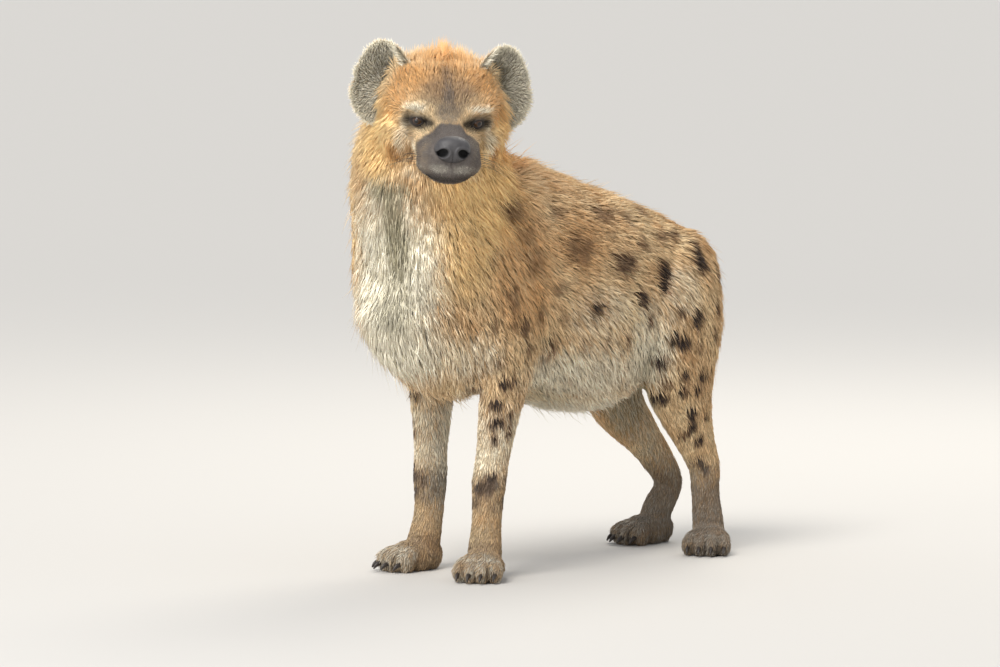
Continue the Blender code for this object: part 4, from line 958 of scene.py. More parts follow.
class Maker:
    def __init__(self, tree):
        self.tree = tree

    def fill(self, node, inputs):
        for key, value in inputs.items():
            if isinstance(value, Wire):
                self.tree.links.new(value.socket, node.inputs[key])
            else:
                node.inputs[key].default_value = value

    def node(self, kind, settings=None, inputs=None):
        made = self.tree.nodes.new(kind)
        for key, value in (settings or {}).items():
            setattr(made, key, value)
        self.fill(made, inputs or {})
        return made

    def add(self, kind, settings=None, inputs=None, output=0):
        return Wire(self, self.node(kind, settings, inputs).outputs[output])

    def vector(self, operation, *values, output=0):
        return self.add("ShaderNodeVectorMath", {"operation": operation}, dict(enumerate(values)), output)

    def scaled(self, vector, factor):
        return self.add("ShaderNodeVectorMath", {"operation": "SCALE"}, {0: vector, "Scale": factor})

    def joined(self, x, y, z=0.0):
        return self.add("ShaderNodeCombineXYZ", None, {"X": x, "Y": y, "Z": z})

    def split(self, vector):
        return [Wire(self, socket) for socket in self.node("ShaderNodeSeparateXYZ", None, {0: vector}).outputs]

    def mixed(self, factor, first, second, blend="MIX"):
        settings = {"data_type": "RGBA", "blend_type": blend, "clamp_factor": True}
        return self.add("ShaderNodeMix", settings, {0: factor, 6: first, 7: second}, 2)

    def attribute(self, name, output="Fac"):
        return self.add("ShaderNodeAttribute", {"attribute_name": name}, None, output)

    def surface(self):
        return self.add("ShaderNodeTexCoord", None, None, "Object")

    def noise(self, place, scale, **more):
        return self.add("ShaderNodeTexNoise", None, {"Vector": place, "Scale": scale, **more})

    def bump(self, height, strength, distance):
        return self.add("ShaderNodeBump", None, {"Strength": strength, "Distance": distance, "Height": height})


def tint(red, green, blue):
    shares = [v / 255 for v in (red, green, blue)]
    return (*[v / 12.92 if v <= 0.04045 else ((v + 0.055) / 1.055) ** 2.4 for v in shares], 1.0)


coatColours = {
    "tan": tint(214, 175, 128), "straw": tint(238, 214, 172), "cream": tint(242, 235, 214),
    "rust": tint(214, 160, 98), "gold": tint(242, 208, 148), "grey": tint(158, 150, 122),
    "brown": tint(116, 97, 80), "charcoal": tint(99, 94, 92), "spot": tint(56, 45, 40),
    "blotch": tint(134, 98, 68), "black": tint(20, 18, 18), "light": tint(204, 198, 182),
}


def coloured(maker, shade, spread):
    # the coat's colour, with the painted shade in its masks: one patch of colour over another, broken up by
    # cloudy noise and from tuft to tuft
    c = coatColours
    place = maker.surface() if shade is None else maker.attribute("root", "Vector")
    cloud = maker.noise(place, 14.0, Detail=4.0, Roughness=0.6)
    fine = maker.noise(place, 95.0, Detail=2.0, Roughness=0.6)
    wobble = (cloud - 0.5) * 0.5 + (fine - 0.5) * 0.7
    if shade is not None:
        wobble = wobble + (shade - 0.5) * spread
    fields = [maker.attribute(name, "Vector") for name in maskFields]
    masks = dict(zip(maskNames, [wire for field in fields for wire in maker.split(field)]))

    def over(colour, name, amount=1.0):
        mask = masks[name]
        return maker.mixed((mask + wobble * amount * 4 * mask * (1 - mask)).clamped(), colour, c[name])

    colour = maker.mixed((cloud * 2.2 - 0.6 + wobble * 0.6).clamped(), c["tan"], c["straw"])
    for name in ("gold", "rust", "cream", "grey"):
        colour = over(colour, name)
    spots = masks["spots"]
    dark = maker.mixed(((spots - 0.55) * 2.6).clamped(), c["blotch"], c["spot"])
    colour = maker.mixed((spots * 1.12 + wobble * 1.1 * spots).clamped(), colour, dark)
    colour = over(over(over(colour, "brown"), "charcoal", 0.6), "light", 1.2)
    return maker.mixed(masks["black"], colour, c["black"])


def newMaterial(name):
    material = bpy.data.materials.new(name)
    material.use_nodes = True
    return material, Maker(material.node_tree), material.node_tree.nodes["Principled BSDF"]


def coatMaterial():
    material, maker, shader = newMaterial("coatHair")
    shade, along, lock = [maker.attribute(name) for name in ("shade", "along", "lock")]
    colour = coloured(maker, shade, 0.55)
    lump = maker.noise(maker.attribute("root", "Vector"), 55.0, Detail=3.0, Roughness=0.7)
    # painted shade: each tuft's colour is darkened towards its root, where hair shades hair, and raised towards
    # its tip; random tone from tuft to tuft, lock to lock and patch to patch is mixed in
    rootShadeAndTone = along * 0.50 + (shade - 0.5) * 0.26 + (lock - 0.5) * 0.30 + (lump - 0.5) * 0.36 + 0.77
    colour = maker.mixed(1.0, colour, maker.joined(rootShadeAndTone, rootShadeAndTone, rootShadeAndTone), "MULTIPLY")
    maker.fill(shader, {"Base Color": colour, "Roughness": 0.62, "Specular IOR Level": 0.28})
    return material


def skinMaterial():
    material, maker, shader = newMaterial("coatSkin")
    # painted shade: the skin's coat colour is mixed 40% towards dark brown, for the shadow under the hair
    colour = maker.mixed(0.40, coloured(maker, None, 0.0), (0.05, 0.04, 0.034, 1.0))
    bump = maker.bump(maker.noise(maker.surface(), 420.0, Detail=3.0, Roughness=0.7), 0.5, 0.0015)
    maker.fill(shader, {"Base Color": colour, "Normal": bump, "Roughness": 0.70, "Specular IOR Level": 0.25})
    return material


tuftInputs = ("Density", "Segments", "Longer", "Wider", "Bend", "Curl", "Whirl", "Locks", "Gather")


def tuftTree():
    # grows a three-sided tuft at each point that it strews over the skin, and lays it along the hair
    tree = bpy.data.node_groups.new("tuftGrower", "GeometryNodeTree")
    kinds = {"Geometry": "Geometry", "Segments": "Int", "Seed": "Int", "Finish": "Material"}
    for name in ("Geometry", "Spacing", *tuftInputs, "Seed", "Finish"):
        kind = "NodeSocket" + kinds.get(name, "Float")
        tree.interface.new_socket(name=name, in_out="INPUT", socket_type=kind)
    tree.interface.new_socket(name="Geometry", in_out="OUTPUT", socket_type="NodeSocketGeometry")
    maker = Maker(tree)
    given = {socket.name: Wire(maker, socket) for socket in maker.node("NodeGroupInput").outputs if socket.name}

    def named(name, kind="FLOAT"):
        return maker.add("GeometryNodeInputNamedAttribute", {"data_type": kind}, {"Name": name})

    def stored(geometry, name, value, kind="FLOAT"):
        settings = {"data_type": kind, "domain": "POINT"}
        inputs = {"Geometry": geometry, "Name": name, "Value": value}
        return maker.add("GeometryNodeStoreNamedAttribute", settings, inputs)

    def drawn(low, high, step):
        inputs = {"Min": low, "Max": high, "Seed": given["Seed"] + step}
        return maker.add("FunctionNodeRandomValue", {"data_type": "FLOAT"}, inputs, 1)

    arrow = "FLOAT_VECTOR"
    spread = maker.node("GeometryNodeDistributePointsOnFaces", {"distribute_method": "POISSON"}, {
        "Mesh": given["Geometry"], "Distance Min": given["Spacing"], "Density Max": given["Density"],
        "Density Factor": named("cover") * named("here"), "Seed": given["Seed"],
    })
    place = maker.add("GeometryNodeInputPosition")
    cells = maker.node("ShaderNodeTexVoronoi", {"feature": "F1"}, {"Vector": place, "Scale": given["Locks"]})
    toMiddle = maker.vector("SUBTRACT", Wire(maker, cells.outputs["Position"]), place)
    points = stored(Wire(maker, spread.outputs["Points"]), "root", place, arrow)
    points = stored(points, "upward", Wire(maker, spread.outputs["Normal"]), arrow)
    points = stored(points, "shade", drawn(0.0, 1.0, 1))
    points = stored(points, "turnAside", drawn(-1.0, 1.0, 2))
    points = stored(points, "grow", drawn(0.72, 1.22, 3))
    points = stored(points, "toMiddle", toMiddle, arrow)
    points = stored(points, "lock", maker.split(Wire(maker, cells.outputs["Color"]))[0])
    length, width, lift = maker.split(named("sizes", arrow))
    length = length * given["Longer"] * named("grow") * (0.84 + named("lock") * 0.32)
    out = named("upward", arrow)
    # the way ahead: the lie, whirls, strays and the pull to the middle of the lock, all along the skin
    whirl = {"Vector": named("root", arrow), "Scale": 70.0, "Detail": 2.0}
    whirl = maker.add("ShaderNodeTexNoise", {"noise_dimensions": "3D"}, whirl, "Color")
    whirl = maker.vector("SUBTRACT", whirl, (0.5, 0.5, 0.5))
    stray = {0: (-0.16,) * 3, 1: (0.16,) * 3, "Seed": given["Seed"] + 4}
    stray = maker.add("FunctionNodeRandomValue", {"data_type": arrow}, stray)
    way = maker.vector("ADD", named("lie", arrow), maker.scaled(whirl, given["Whirl"]))
    way = maker.vector("ADD", way, stray)
    way = maker.vector("ADD", way, maker.scaled(named("toMiddle", arrow), given["Gather"] / length))
    way = maker.vector("SUBTRACT", way, maker.scaled(out, maker.vector("DOT_PRODUCT", way, out, output=1)))
    way = maker.vector("NORMALIZE", way)
    lifted = lift * (0.66 + named("shade") * 0.26 + named("lock") * 0.42)
    rise, flat = lifted.sum("SINE"), lifted.sum("COSINE")
    ahead = maker.vector("ADD", maker.scaled(way, flat), maker.scaled(out, rise))
    points = stored(points, "ahead", ahead, arrow)
    turn = maker.add("FunctionNodeAlignRotationToVector", {"axis": "Z"}, {"Vector": ahead})
    inputs = {"Rotation": turn, "Vector": out}
    turn = maker.add("FunctionNodeAlignRotationToVector", {"axis": "Y", "pivot_axis": "Z"}, inputs)
    # one tuft, 1 m long, plump in the middle
    inputs = {"Vertices": 3, "Side Segments": given["Segments"], "Radius Top": 0.0, "Radius Bottom": 0.5}
    inputs["Depth"] = 1.0
    cone = maker.add("GeometryNodeMeshCone", {"fill_type": "NGON"}, inputs)
    x, y, z = maker.split(place)
    cone = stored(stored(cone, "along", z), "across", x)
    plump = 0.62 + z * 1.75
    inputs = {"Geometry": cone, "Position": maker.joined(x * plump, y * plump, z)}
    cone = maker.add("GeometryNodeSetPosition", None, inputs)
    wide = width * given["Wider"]
    size = maker.joined(wide, wide * 0.55, length)
    inputs = {"Points": points, "Instance": cone, "Rotation": turn, "Scale": size}
    tufts = maker.add("GeometryNodeInstanceOnPoints", None, inputs)
    tufts = maker.add("GeometryNodeRealizeInstances", None, {"Geometry": tufts})
    # each tuft bends down to the skin and a little aside towards its tip
    along = named("along")
    side = maker.vector("CROSS_PRODUCT", named("ahead", arrow), out)
    dip = along * along * length * rise * given["Bend"] * -1
    sway = along * along * length * named("turnAside") * given["Curl"]
    offset = maker.vector("ADD", maker.scaled(out, dip), maker.scaled(side, sway))
    tufts = maker.add("GeometryNodeSetPosition", None, {"Geometry": tufts, "Offset": offset})
    tufts = maker.add("GeometryNodeSetShadeSmooth", None, {"Geometry": tufts})
    tufts = maker.add("GeometryNodeSetMaterial", None, {"Geometry": tufts, "Material": given["Finish"]})
    tree.links.new(tufts.socket, maker.node("NodeGroupOutput").inputs[0])
    return tree


# Each piece of the coat: its slot, then tufts per square metre, segments, longer, wider, bend, curl, whirl, the
# size of the locks and how far they gather.
coatPieces = {
    "coat_face_left": ("coat_head", 200e3, 2, 1.0, 1.08, 0.5, 0.10, 0.35, 0.006, 0.35),
    "coat_face_right": ("coat_head", 200e3, 2, 1.0, 1.08, 0.5, 0.10, 0.35, 0.006, 0.35),
    "coat_crown": ("coat_head", 164e3, 2, 1.0, 1.00, 0.12, 0.14, 0.8, 0.010, 0.85),
    "coat_ears": ("coat_ears", 242e3, 2, 1.0, 1.00, 0.4, 0.18, 0.6, 0.006, 0.5),
    "coat_neck_left": ("coat_neck", 118e3, 2, 1.0, 1.05, 0.5, 0.16, 0.9, 0.015, 0.9),
    "coat_neck_right": ("coat_neck", 84e3, 2, 1.0, 1.15, 0.5, 0.16, 0.9, 0.015, 0.9),
    "coat_torso_left": ("coat_torso", 74e3, 2, 1.0, 1.15, 0.5, 0.16, 0.9, 0.014, 0.9),
    "coat_torso_right": ("coat_torso", 50e3, 2, 1.0, 1.25, 0.5, 0.16, 0.9, 0.014, 0.9),
    "coat_shoulders": ("coat_shoulders", 62e3, 2, 1.0, 1.20, 0.5, 0.16, 0.9, 0.014, 0.9),
    "coat_thighs": ("coat_thighs", 56e3, 2, 1.0, 1.25, 0.5, 0.14, 0.8, 0.012, 0.8),
    "coat_lower_legs": ("coat_lower_legs", 66e3, 2, 1.0, 1.25, 0.5, 0.12, 0.7, 0.008, 0.6),
    "coat_paws": ("coat_paws", 90e3, 2, 1.0, 1.25, 0.5, 0.12, 0.5, 0.006, 0.5),
    "coat_tail": ("coat_tail", 100e3, 2, 1.0, 1.2, 0.5, 0.12, 0.6, 0.010, 0.7),
    "coat_tail_brush": ("coat_tail_brush", 120e3, 3, 1.0, 1.1, 0.5, 0.14, 0.9, 0.014, 0.9),
    "coat_guard_hairs": ("coat_torso", 4.6e3, 2, 1.35, 0.55, 0.3, 0.25, 1.1, 0.020, 0.3),
}
# The face, the ears and the feet have no long hairs, and no finished piece keeps the growing's own fields.
shortHaired = ("coat_face_left", "coat_face_right", "coat_paws", "coat_ears", "coat_lower_legs")
workFields = ("lie", "sizes", "cover", "here", "upward", "turnAside", "grow", "ahead", "across", "toMiddle")
# How far the skin is sunk under the hair, in metres for each mm of the hair's height, and how tufts are strewn.
coat = {
    "sunk": 0.00050, "faceShare": 0.8, "pawDepth": 0.0015, "tailDepth": 0.0030, "earDepth": 0.0006,
    "lowest": 0.0004, "patch": 0.003, "strewn": 1.6, "apart": 0.62,
}


def coatRegions(points, tags):
    # which piece of the coat each point of the skin belongs to
    local = moved(points, headMatrix.inverted())
    x, y, z = points.T
    names = np.full(len(points), "coat_torso_left", dtype=object)
    names[x < 0] = "coat_torso_right"
    ahead = (points - np.array(body["neckPoint"])) @ np.array(body["neckNormal"]) > 0
    high = ahead | ((z > 0.70) & (y < -0.18))
    middle = 0.045 * smooth(z, 0.60, 0.85)
    names[high & (x >= middle)] = "coat_neck_left"
    names[high & (x < middle)] = "coat_neck_right"
    names[~high & (np.abs(x) > 0.05) & (y < -0.14) & (z < 0.70)] = "coat_shoulders"
    names[(np.abs(x) > 0.04) & (y > 0.13) & (z < 0.66)] = "coat_thighs"
    names[(z < body["elbowHeight"]) & (y < -0.05) & (np.abs(x) > 0.03)] = "coat_lower_legs"
    names[(z < body["kneeHeight"]) & (y > 0.1)] = "coat_lower_legs"
    onHead, onTail = tags == tagOf["head"], tags == tagOf["tail"]
    names[onHead] = "coat_crown"
    names[onHead & (local[:, 1] < -0.060) & (local[:, 0] >= 0)] = "coat_face_left"
    names[onHead & (local[:, 1] < -0.060) & (local[:, 0] < 0)] = "coat_face_right"
    names[onHead & (local[:, 1] > 0.075)] = "coat_neck_left"
    names[tags == tagOf["paws"]] = "coat_paws"
    names[onTail] = "coat_tail"
    names[onTail & (z < 0.47)] = "coat_tail_brush"
    names[tags > tagOf["tail"]] = "coat_ears"
    return names


def axisChart(points, rows, upHint):
    # how far round and how far along an axis each point is, both from 0 to 1, and how far off it is
    axis = between([row[:3] for row in rows], 8)
    tangents = unit(np.gradient(axis, axis=0))
    gaps = ((points[:, None, :] - axis[None]) ** 2).sum(2)
    nearest = gaps.argmin(1)
    centre, ahead = axis[nearest], tangents[nearest]
    up = unit(np.asarray(upHint, float) - ahead * (ahead @ np.asarray(upHint, float))[:, None])
    off = points - centre
    turn = np.arctan2((off * up).sum(1), (off * np.cross(ahead, up)).sum(1)) / (2 * math.pi) + 0.5
    run = (nearest + np.clip((off * ahead).sum(1) / 0.02, -0.5, 0.5)) / len(axis)
    return turn, np.clip(run, 0, 1), gaps.min(1)


def unwrapped(name, roots):
    # the place of each root on an unwrap of the skin: one upright strip for each limb
    if name in ("coat_face_left", "coat_face_right", "coat_crown"):
        local = moved(roots, headMatrix.inverted())
        centre = local - np.array((0, -0.06, -0.045))
        turn = np.arctan2(centre[:, 0], centre[:, 2]) / (2 * math.pi) + 0.5
        return np.stack([turn, (local[:, 1] + 0.26) / 0.38], 1)
    if name == "coat_ears":
        found = np.zeros((len(roots), 2))
        for side, start in ((1, 0.5), (-1, 0.0)):
            own = moved(roots, earFrame(side).inverted())
            here = np.linalg.norm(own, axis=1) < 0.12
            far = (np.hypot(own[:, 0], own[:, 1]) / 0.075).clip(0, 1)
            under = own[:, 2] < -ear["depth"] * (1 - far ** 2) - 0.004
            spots = np.stack([start + 0.25 + own[:, 0] / 0.40, 0.25 + own[:, 1] / 0.40 + 0.5 * under], 1)
            found[here] = spots[here]
        return found
    if name.startswith("coat_neck"):
        strips = [(neckRows, (0, -1, 0))]
    elif name.startswith("coat_torso") or name == "coat_guard_hairs":
        strips = [(torsoRows, (0, 0, 1))]
    elif name.startswith("coat_tail"):
        strips = [(tailRows, (0, 1, 0))]
    else:
        kinds = {"coat_shoulders": ("fore",), "coat_thighs": ("hind",)}.get(name, ("fore", "hind"))
        strips = [(legRows(kind, side), (0, -1, 0)) for kind, side in limbs if kind in kinds]
    found, best = np.zeros((len(roots), 2)), np.full(len(roots), 1e9)
    for k, (rows, hint) in enumerate(strips):
        turn, run, gap = axisChart(roots, rows, hint)
        spot = np.stack([(k + 0.02 + 0.96 * turn) / len(strips), run], 1)
        found = np.where((gap < best)[:, None], spot, found)
        best = np.minimum(best, gap)
    return found


def bakeMap(name, mesh):
    # every tuft gets a small patch of the OFBake map at its root's place
    roots = readAll(mesh.attributes["root"].data, "vector", 3).astype(float)
    across, along = [readAll(mesh.attributes[key].data, "value") for key in ("across", "along")]
    places = np.empty((len(roots), 2))
    step = 60000
    for first in range(0, len(roots), step):
        part = slice(first, first + step)
        places[part] = unwrapped(name, roots[part] - np.array(shift))
    places = 0.004 + 0.992 * np.clip(places, 0, 1)
    places += coat["patch"] * np.stack([across, along - 0.5], 1)
    corners = readAll(mesh.loops, "vertex_index", kind=np.int32)
    layer = mesh.uv_layers.new(name="OFBake")
    layer.data.foreach_set("uv", places[corners].astype(np.float32).ravel())


def countOf(mesh):
    return sum(len(p.vertices) - 2 for p in mesh.polygons)


def dropped(mesh, names):
    for name in names:
        if mesh.attributes.get(name):
            mesh.attributes.remove(mesh.attributes[name])


def grownCoat(skin, tags, finish):
    grower = addObject("grower", skin.data.copy())
    mesh = grower.data
    regions = coatRegions(pointsOf(mesh) - np.array(shift), tags)
    starts = readAll(mesh.polygons, "loop_start", kind=np.int32)
    regions = regions[readAll(mesh.loops, "vertex_index", kind=np.int32)[starts]]
    tree = tuftTree()
    total = 0
    for seed, (name, (slot, *values)) in enumerate(coatPieces.items()):
        chosen = regions == name
        if name == "coat_guard_hairs":
            chosen = ~np.isin(regions, shortHaired)
        setField(mesh, "here", chosen.astype(float), "FACE")
        step = grower.modifiers.new("tufts", "NODES")
        step.node_group = tree
        values = dict(zip(tuftInputs, values), Seed=seed * 10 + 3, Finish=finish)
        density = values["Density"] * 1.0
        values["Density"], values["Spacing"] = density * coat["strewn"], coat["apart"] / math.sqrt(density)
        values["Wider"] *= 1.0
        values["Locks"] = 1 / values["Locks"]
        for socket in tree.interface.items_tree:
            if socket.in_out == "INPUT" and socket.name in values:
                step[socket.identifier] = values[socket.name]
        grower.update_tag()
        bpy.context.view_layer.update()
        graph = bpy.context.evaluated_depsgraph_get()
        piece = addObject(name, bpy.data.meshes.new_from_object(grower.evaluated_get(graph)))
        grower.modifiers.clear()
        raisedTo(piece.data, coat["lowest"])
        bakeMap(name, piece.data)
        dropped(piece.data, workFields)
        print("coat:", name, countOf(piece.data), "triangles")
        total += countOf(piece.data)
        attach(piece, "root")
    removed(grower)
    print("coat: in all", total, "triangles")


eyes = {"bulge": 0.07, "pupil": 0.26, "iris": 0.70, "rim": 0.84, "segments": 48, "rings": 40}


def ball(name, segments, rings):
    # a unit ball with its poles along y
    bm = bmesh.new()
    bmesh.ops.create_uvsphere(bm, u_segments=segments, v_segments=rings, radius=1.0)
    bmesh.ops.transform(bm, matrix=spin(90, "X"), verts=bm.verts)
    return meshFrom(bm, name)


def madeEyes():
    material, maker, shader = newMaterial("eyeGloss")
    angle, turn = maker.attribute("gaze"), maker.attribute("around")
    rays = {"Vector": maker.joined(turn * 9.0, angle * 2.0), "Scale": 3.0}
    rays = maker.add("ShaderNodeTexNoise", {"noise_dimensions": "2D"}, rays)
    colour = (0.002, 0.002, 0.002, 1)
    iris = maker.mixed(rays, (0.016, 0.007, 0.003, 1), (0.070, 0.032, 0.013, 1))
    for key, beyond in (("pupil", iris), ("iris", (0.008, 0.005, 0.004, 1)), ("rim", (0.02, 0.014, 0.012, 1))):
        colour = maker.mixed(((angle - eyes[key]) * 18.0).clamped(), colour, beyond)
    gloss = {"Roughness": 0.16, "Specular IOR Level": 0.25, "Coat Weight": 0.55, "Coat Roughness": 0.03}
    maker.fill(shader, {"Base Color": colour, **gloss})
    for name, s in (("left", 1), ("right", -1)):
        mesh = ball(f"eyeball_{name}", eyes["segments"], eyes["rings"])
        points = pointsOf(mesh)
        gaze = np.arccos(np.clip(-points[:, 1], -1, 1))
        grown = points * (head["eyeRadius"] * (0.985 + eyes["bulge"] * np.exp(-(gaze / 0.55) ** 4)))[:, None]
        setPoints(mesh, moved(grown, shiftMatrix @ headMatrix @ eyeFrame(s)))
        setField(mesh, "gaze", gaze)
        setField(mesh, "around", np.abs(np.arctan2(points[:, 2], points[:, 0])))
        mesh.materials.append(material)
        mesh.shade_smooth()
        eyeball = addObject(f"eyeball_{name}", mesh)
        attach(eyeball, "root")
        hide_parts(f"eye_{name}")
    print("eyes made")


nose = {
    "place": (0.0, -0.2300, -0.0570), "radii": (0.0335, 0.0225, 0.0250), "nostril": (0.0192, -0.0035),
    "hole": (0.0108, 0.0094), "holeDepth": 0.0150, "slitDepth": 0.0035, "rim": 0.0016, "groove": 0.0022,
    "clear": 0.017, "bare": (0.036, 0.024, 0.0275), "colours": (tint(48, 46, 47), tint(78, 76, 77)),
}


def madeNose():
    mesh = ball("nosePad", 160, 120)
    points = pointsOf(mesh)
    squared = np.sign(points) * np.abs(points) ** np.array((0.86, 1.0, 0.90))
    out = squared * np.array(nose["radii"])
    ahead = smooth(-out[:, 1], 0.0, nose["radii"][1] * 0.6)
    out[:, 0] *= 1 - 0.20 * smooth(-out[:, 2], 0.002, 0.026)
    hollow = np.zeros(len(out))
    for s in (1, -1):
        dx = out[:, 0] * s - nose["nostril"][0]
        dz = out[:, 2] - nose["nostril"][1] + 0.25 * dx
        level = (dx / nose["hole"][0]) ** 2 + (dz / nose["hole"][1]) ** 2
        dip = smooth(-level, -1.15, -0.15)
        out[:, 1] += ahead * (nose["holeDepth"] * dip - nose["rim"] * np.exp(-((level - 1.7) / 0.6) ** 2))
        slit = np.exp(-((out[:, 2] - nose["nostril"][1] + 0.20 * (dx - 0.008)) / 0.0022) ** 2)
        slit = slit * smooth(dx, 0.004, 0.009)
        out[:, 1] += ahead * nose["slitDepth"] * slit
        hollow = np.maximum(hollow, ahead * np.maximum(dip, 0.5 * slit))
    out[:, 1] += ahead * nose["groove"] * np.exp(-(out[:, 0] / 0.0014) ** 2) * smooth(-out[:, 2], -0.004, 0.006)
    setPoints(mesh, moved(out + np.array(nose["place"]), shiftMatrix @ headMatrix))
    setField(mesh, "hollow", hollow)
    mesh.shade_smooth()
    material, maker, shader = newMaterial("noseLeather")
    place = maker.surface()
    pebbles = {"Vector": place, "Scale": 620.0, "Randomness": 0.9}
    pebbles = maker.add("ShaderNodeTexVoronoi", {"feature": "F1"}, pebbles)
    cloud = maker.noise(place, 90.0, Detail=3.0)
    # painted shade: the nostrils' hollows are painted near-black, and made rougher, for the shadow inside them
    inside = (maker.attribute("hollow") * 2.2).clamped()
    colour = maker.mixed(inside, maker.mixed(cloud, *nose["colours"]), (0.002, 0.002, 0.002, 1))
    rough = 0.34 + cloud * 0.20 + inside * 0.45
    maker.fill(shader, {"Base Color": colour, "Normal": maker.bump(pebbles, 0.45, 0.0008), "Roughness": rough})
    mesh.materials.append(material)
    pad = addObject("nosePad", mesh)
    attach(pad, "root")
    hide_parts("nose")
    print("nose made")


claws = {"sides": 14, "steps": 4, "colour": tint(34, 29, 26), "tip": tint(66, 56, 48)}


def madeClaws():
    material, maker, shader = newMaterial("clawHorn")
    place = maker.surface()
    streak = maker.noise(maker.vector("MULTIPLY", place, (1, 1, 0.3)), 500.0, Detail=3.0)
    colour = maker.mixed((streak * 0.7).clamped(), claws["colour"], claws["tip"])
    rough = 0.30 + maker.split(place)[2] * 4.0 + streak * 0.1
    maker.fill(shader, {"Base Color": colour, "Roughness": rough})
    for kind, side in limbs:
        place = shiftMatrix @ pawPlace(kind, side)
        for k, share, front in toePlaces():
            wide = share * (paw["width"] / 2 - paw["toeRadius"]) * 1.03
            rows = (
                (wide, front * 0.96, 0.0170, 0.0044, 0.0050, 0.0050),
                (wide, front - 0.0060, 0.0165, 0.0041, 0.0048, 0.0046),
                (wide, front - 0.0140, 0.0128, 0.0031, 0.0040, 0.0036),
                (wide, front - 0.0196, 0.0066, 0.0011, 0.0016, 0.0014),
            )
            nail = loft("claw", rows, (0, 0, 1), 2.0, claws["sides"], claws["steps"], place)
            nail.name = nail.data.name = f"claw_{kind}_{side.lower()}_{k}"
            nail.data.shade_smooth()
            nail.data.materials.append(material)
            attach(nail, "root")
            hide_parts(f"{kind}claw_{side.lower()}_{k}")
    print("claws made")


whiskers = {
    "each": 11, "length": (0.040, 0.075), "radius": 0.00034, "droop": 0.25, "seed": 21,
    "colour": tint(60, 54, 50), "tip": tint(170, 160, 145),
}


def madeWhiskers(skin):
    material, maker, shader = newMaterial("whiskerHair")
    colour = maker.mixed(maker.attribute("along"), whiskers["colour"], whiskers["tip"])
    maker.fill(shader, {"Base Color": colour, "Roughness": 0.4})
    tree = BVHTree.FromObject(skin, bpy.context.evaluated_depsgraph_get())
    draw = np.random.default_rng(whiskers["seed"])
    base = shiftMatrix @ headMatrix
    turn = base.to_3x3()
    strands = []
    for s in (1, -1):
        for k in range(whiskers["each"]):
            back = -0.212 + 0.012 * (k % 4) + draw.uniform(-0.002, 0.002)
            spot = Vector((s * 0.12, back, -0.078 - 0.007 * (k // 4)))
            hit = tree.ray_cast(base @ spot, turn @ Vector((-s, 0, 0)))[0]
            if hit is None:
                continue
            length = draw.uniform(*whiskers["length"])
            way = turn @ Vector((s * 1.0, 0.35 + draw.uniform(-0.15, 0.25), draw.uniform(-0.35, 0.05)))
            way.normalize()
            rows = []
            for t in (0.0, 0.33, 0.66, 1.0):
                spot = hit + way * length * t + Vector((0, 0, -whiskers["droop"] * length * t * t))
                rows.append((*spot, *[whiskers["radius"] * (1 - 0.8 * t)] * 3))
            strands.append(loft("whisker", rows, (0.1, 0.2, 1), 2.0, 4, 2))
    mesh = meshFrom(gathered(strands), "whiskers")
    mesh.materials.append(material)
    found = addObject("whiskers", mesh)
    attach(found, "root")
    print("whiskers made")


skin, tags = madeSkin()
print("skin:", countOf(skin.data), "triangles")
skin.data.materials.append(skinMaterial())
grownCoat(skin, tags, coatMaterial())
dropped(skin.data, ("lie", "sizes", "cover"))
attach(skin, "root")
limbNodes = ("shoulder", "forearm", "forepaw", "thigh", "shank", "hindpaw")
flesh = ["head", "neck", "torso", "ear_left", "ear_right", "tail_dock", "tail_brush"]
flesh += [f"{part}_{side}" for side in ("left", "right") for part in limbNodes]
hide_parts(*flesh)
madeWhiskers(skin)
madeEyes()
madeNose()
madeClaws()


def aimed(name, data, target, azimuth, elevation, distance):
    # an object that looks at the target from a distance
    obj = addObject(name, data)
    a, e = math.radians(azimuth), math.radians(elevation)
    back = Vector((math.sin(a) * math.cos(e), -math.cos(a) * math.cos(e), math.sin(e)))
    obj.location = target + distance * back
    obj.rotation_mode = "QUATERNION"
    obj.rotation_quaternion = (-back).to_track_quat("-Z", "Y")
    return obj


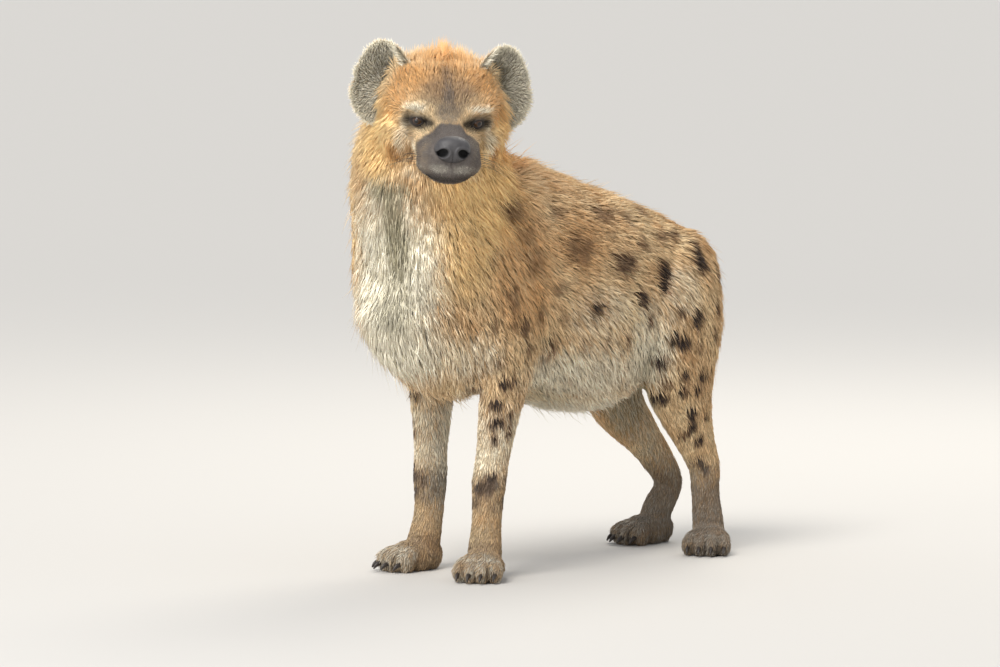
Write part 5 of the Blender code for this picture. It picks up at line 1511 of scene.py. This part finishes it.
# The photograph's view: nearly level, from the front and the animal's left.
view = {
    "azimuth": 46.0, "elevation": 4.5, "distance": 10.0, "lens": 190.8, "sensor": 36.0,
    "target": (0.1393826, -0.28758453, 0.47),
}
target = Vector(view["target"]) + shift
cameraData = bpy.data.cameras.new("camera")
camera = aimed("camera", cameraData, target, view["azimuth"], view["elevation"], view["distance"])
camera.data.lens = view["lens"]
camera.data.sensor_width = view["sensor"]
bpy.context.scene.camera = camera

studio = {
    "floor": tint(198, 195, 190), "size": 420.0, "middle": (0, 0, 0.5),
    "zenith": (0.58, 0.61, 0.66, 1.0), "horizon": (0.78, 0.77, 0.75, 1.0),
}
lamps = (
    # name, kind, azimuth, elevation, distance, size or softness, strength, colour
    ("keyLamp", "SUN", 18, 52, 6.0, 0.50, 2.5, (1.0, 0.965, 0.91)),
    ("fillLamp", "AREA", 8, 10, 4.6, 3.5, 85, (0.96, 0.97, 1.0)),
    ("rimLamp", "AREA", 205, 48, 4.5, 2.5, 90, (1.0, 0.95, 0.86)),
)
floorMaterial, floorMaker, floorShader = newMaterial("paleFloor")
floorMaker.fill(floorShader, {"Base Color": studio["floor"], "Roughness": 0.9})
bm = bmesh.new()
bmesh.ops.create_grid(bm, x_segments=1, y_segments=1, size=studio["size"] / 2)
floor = addObject("floor", meshFrom(bm, "floor"))
floor.data.materials.append(floorMaterial)
world = bpy.data.worlds.new("studio")
bpy.context.scene.world = world
world.use_nodes = True
skyMaker = Maker(world.node_tree)
height = skyMaker.split(skyMaker.add("ShaderNodeTexCoord", None, None, "Generated"))[2]
sky = skyMaker.mixed((height * 1.6).clamped(), studio["horizon"], studio["zenith"])
skyMaker.fill(world.node_tree.nodes["Background"], {"Color": sky})
for name, kind, azimuth, elevation, distance, size, strength, colour in lamps:
    data = bpy.data.lights.new(name, kind)
    data.energy, data.color = strength, colour
    if kind == "SUN":
        data.angle = size
    else:
        data.shape, data.size = "DISK", size
    aimed(name, data, Vector(studio["middle"]), azimuth, elevation, distance)
bpy.context.scene.view_settings.view_transform = "Standard"
print("stage made")
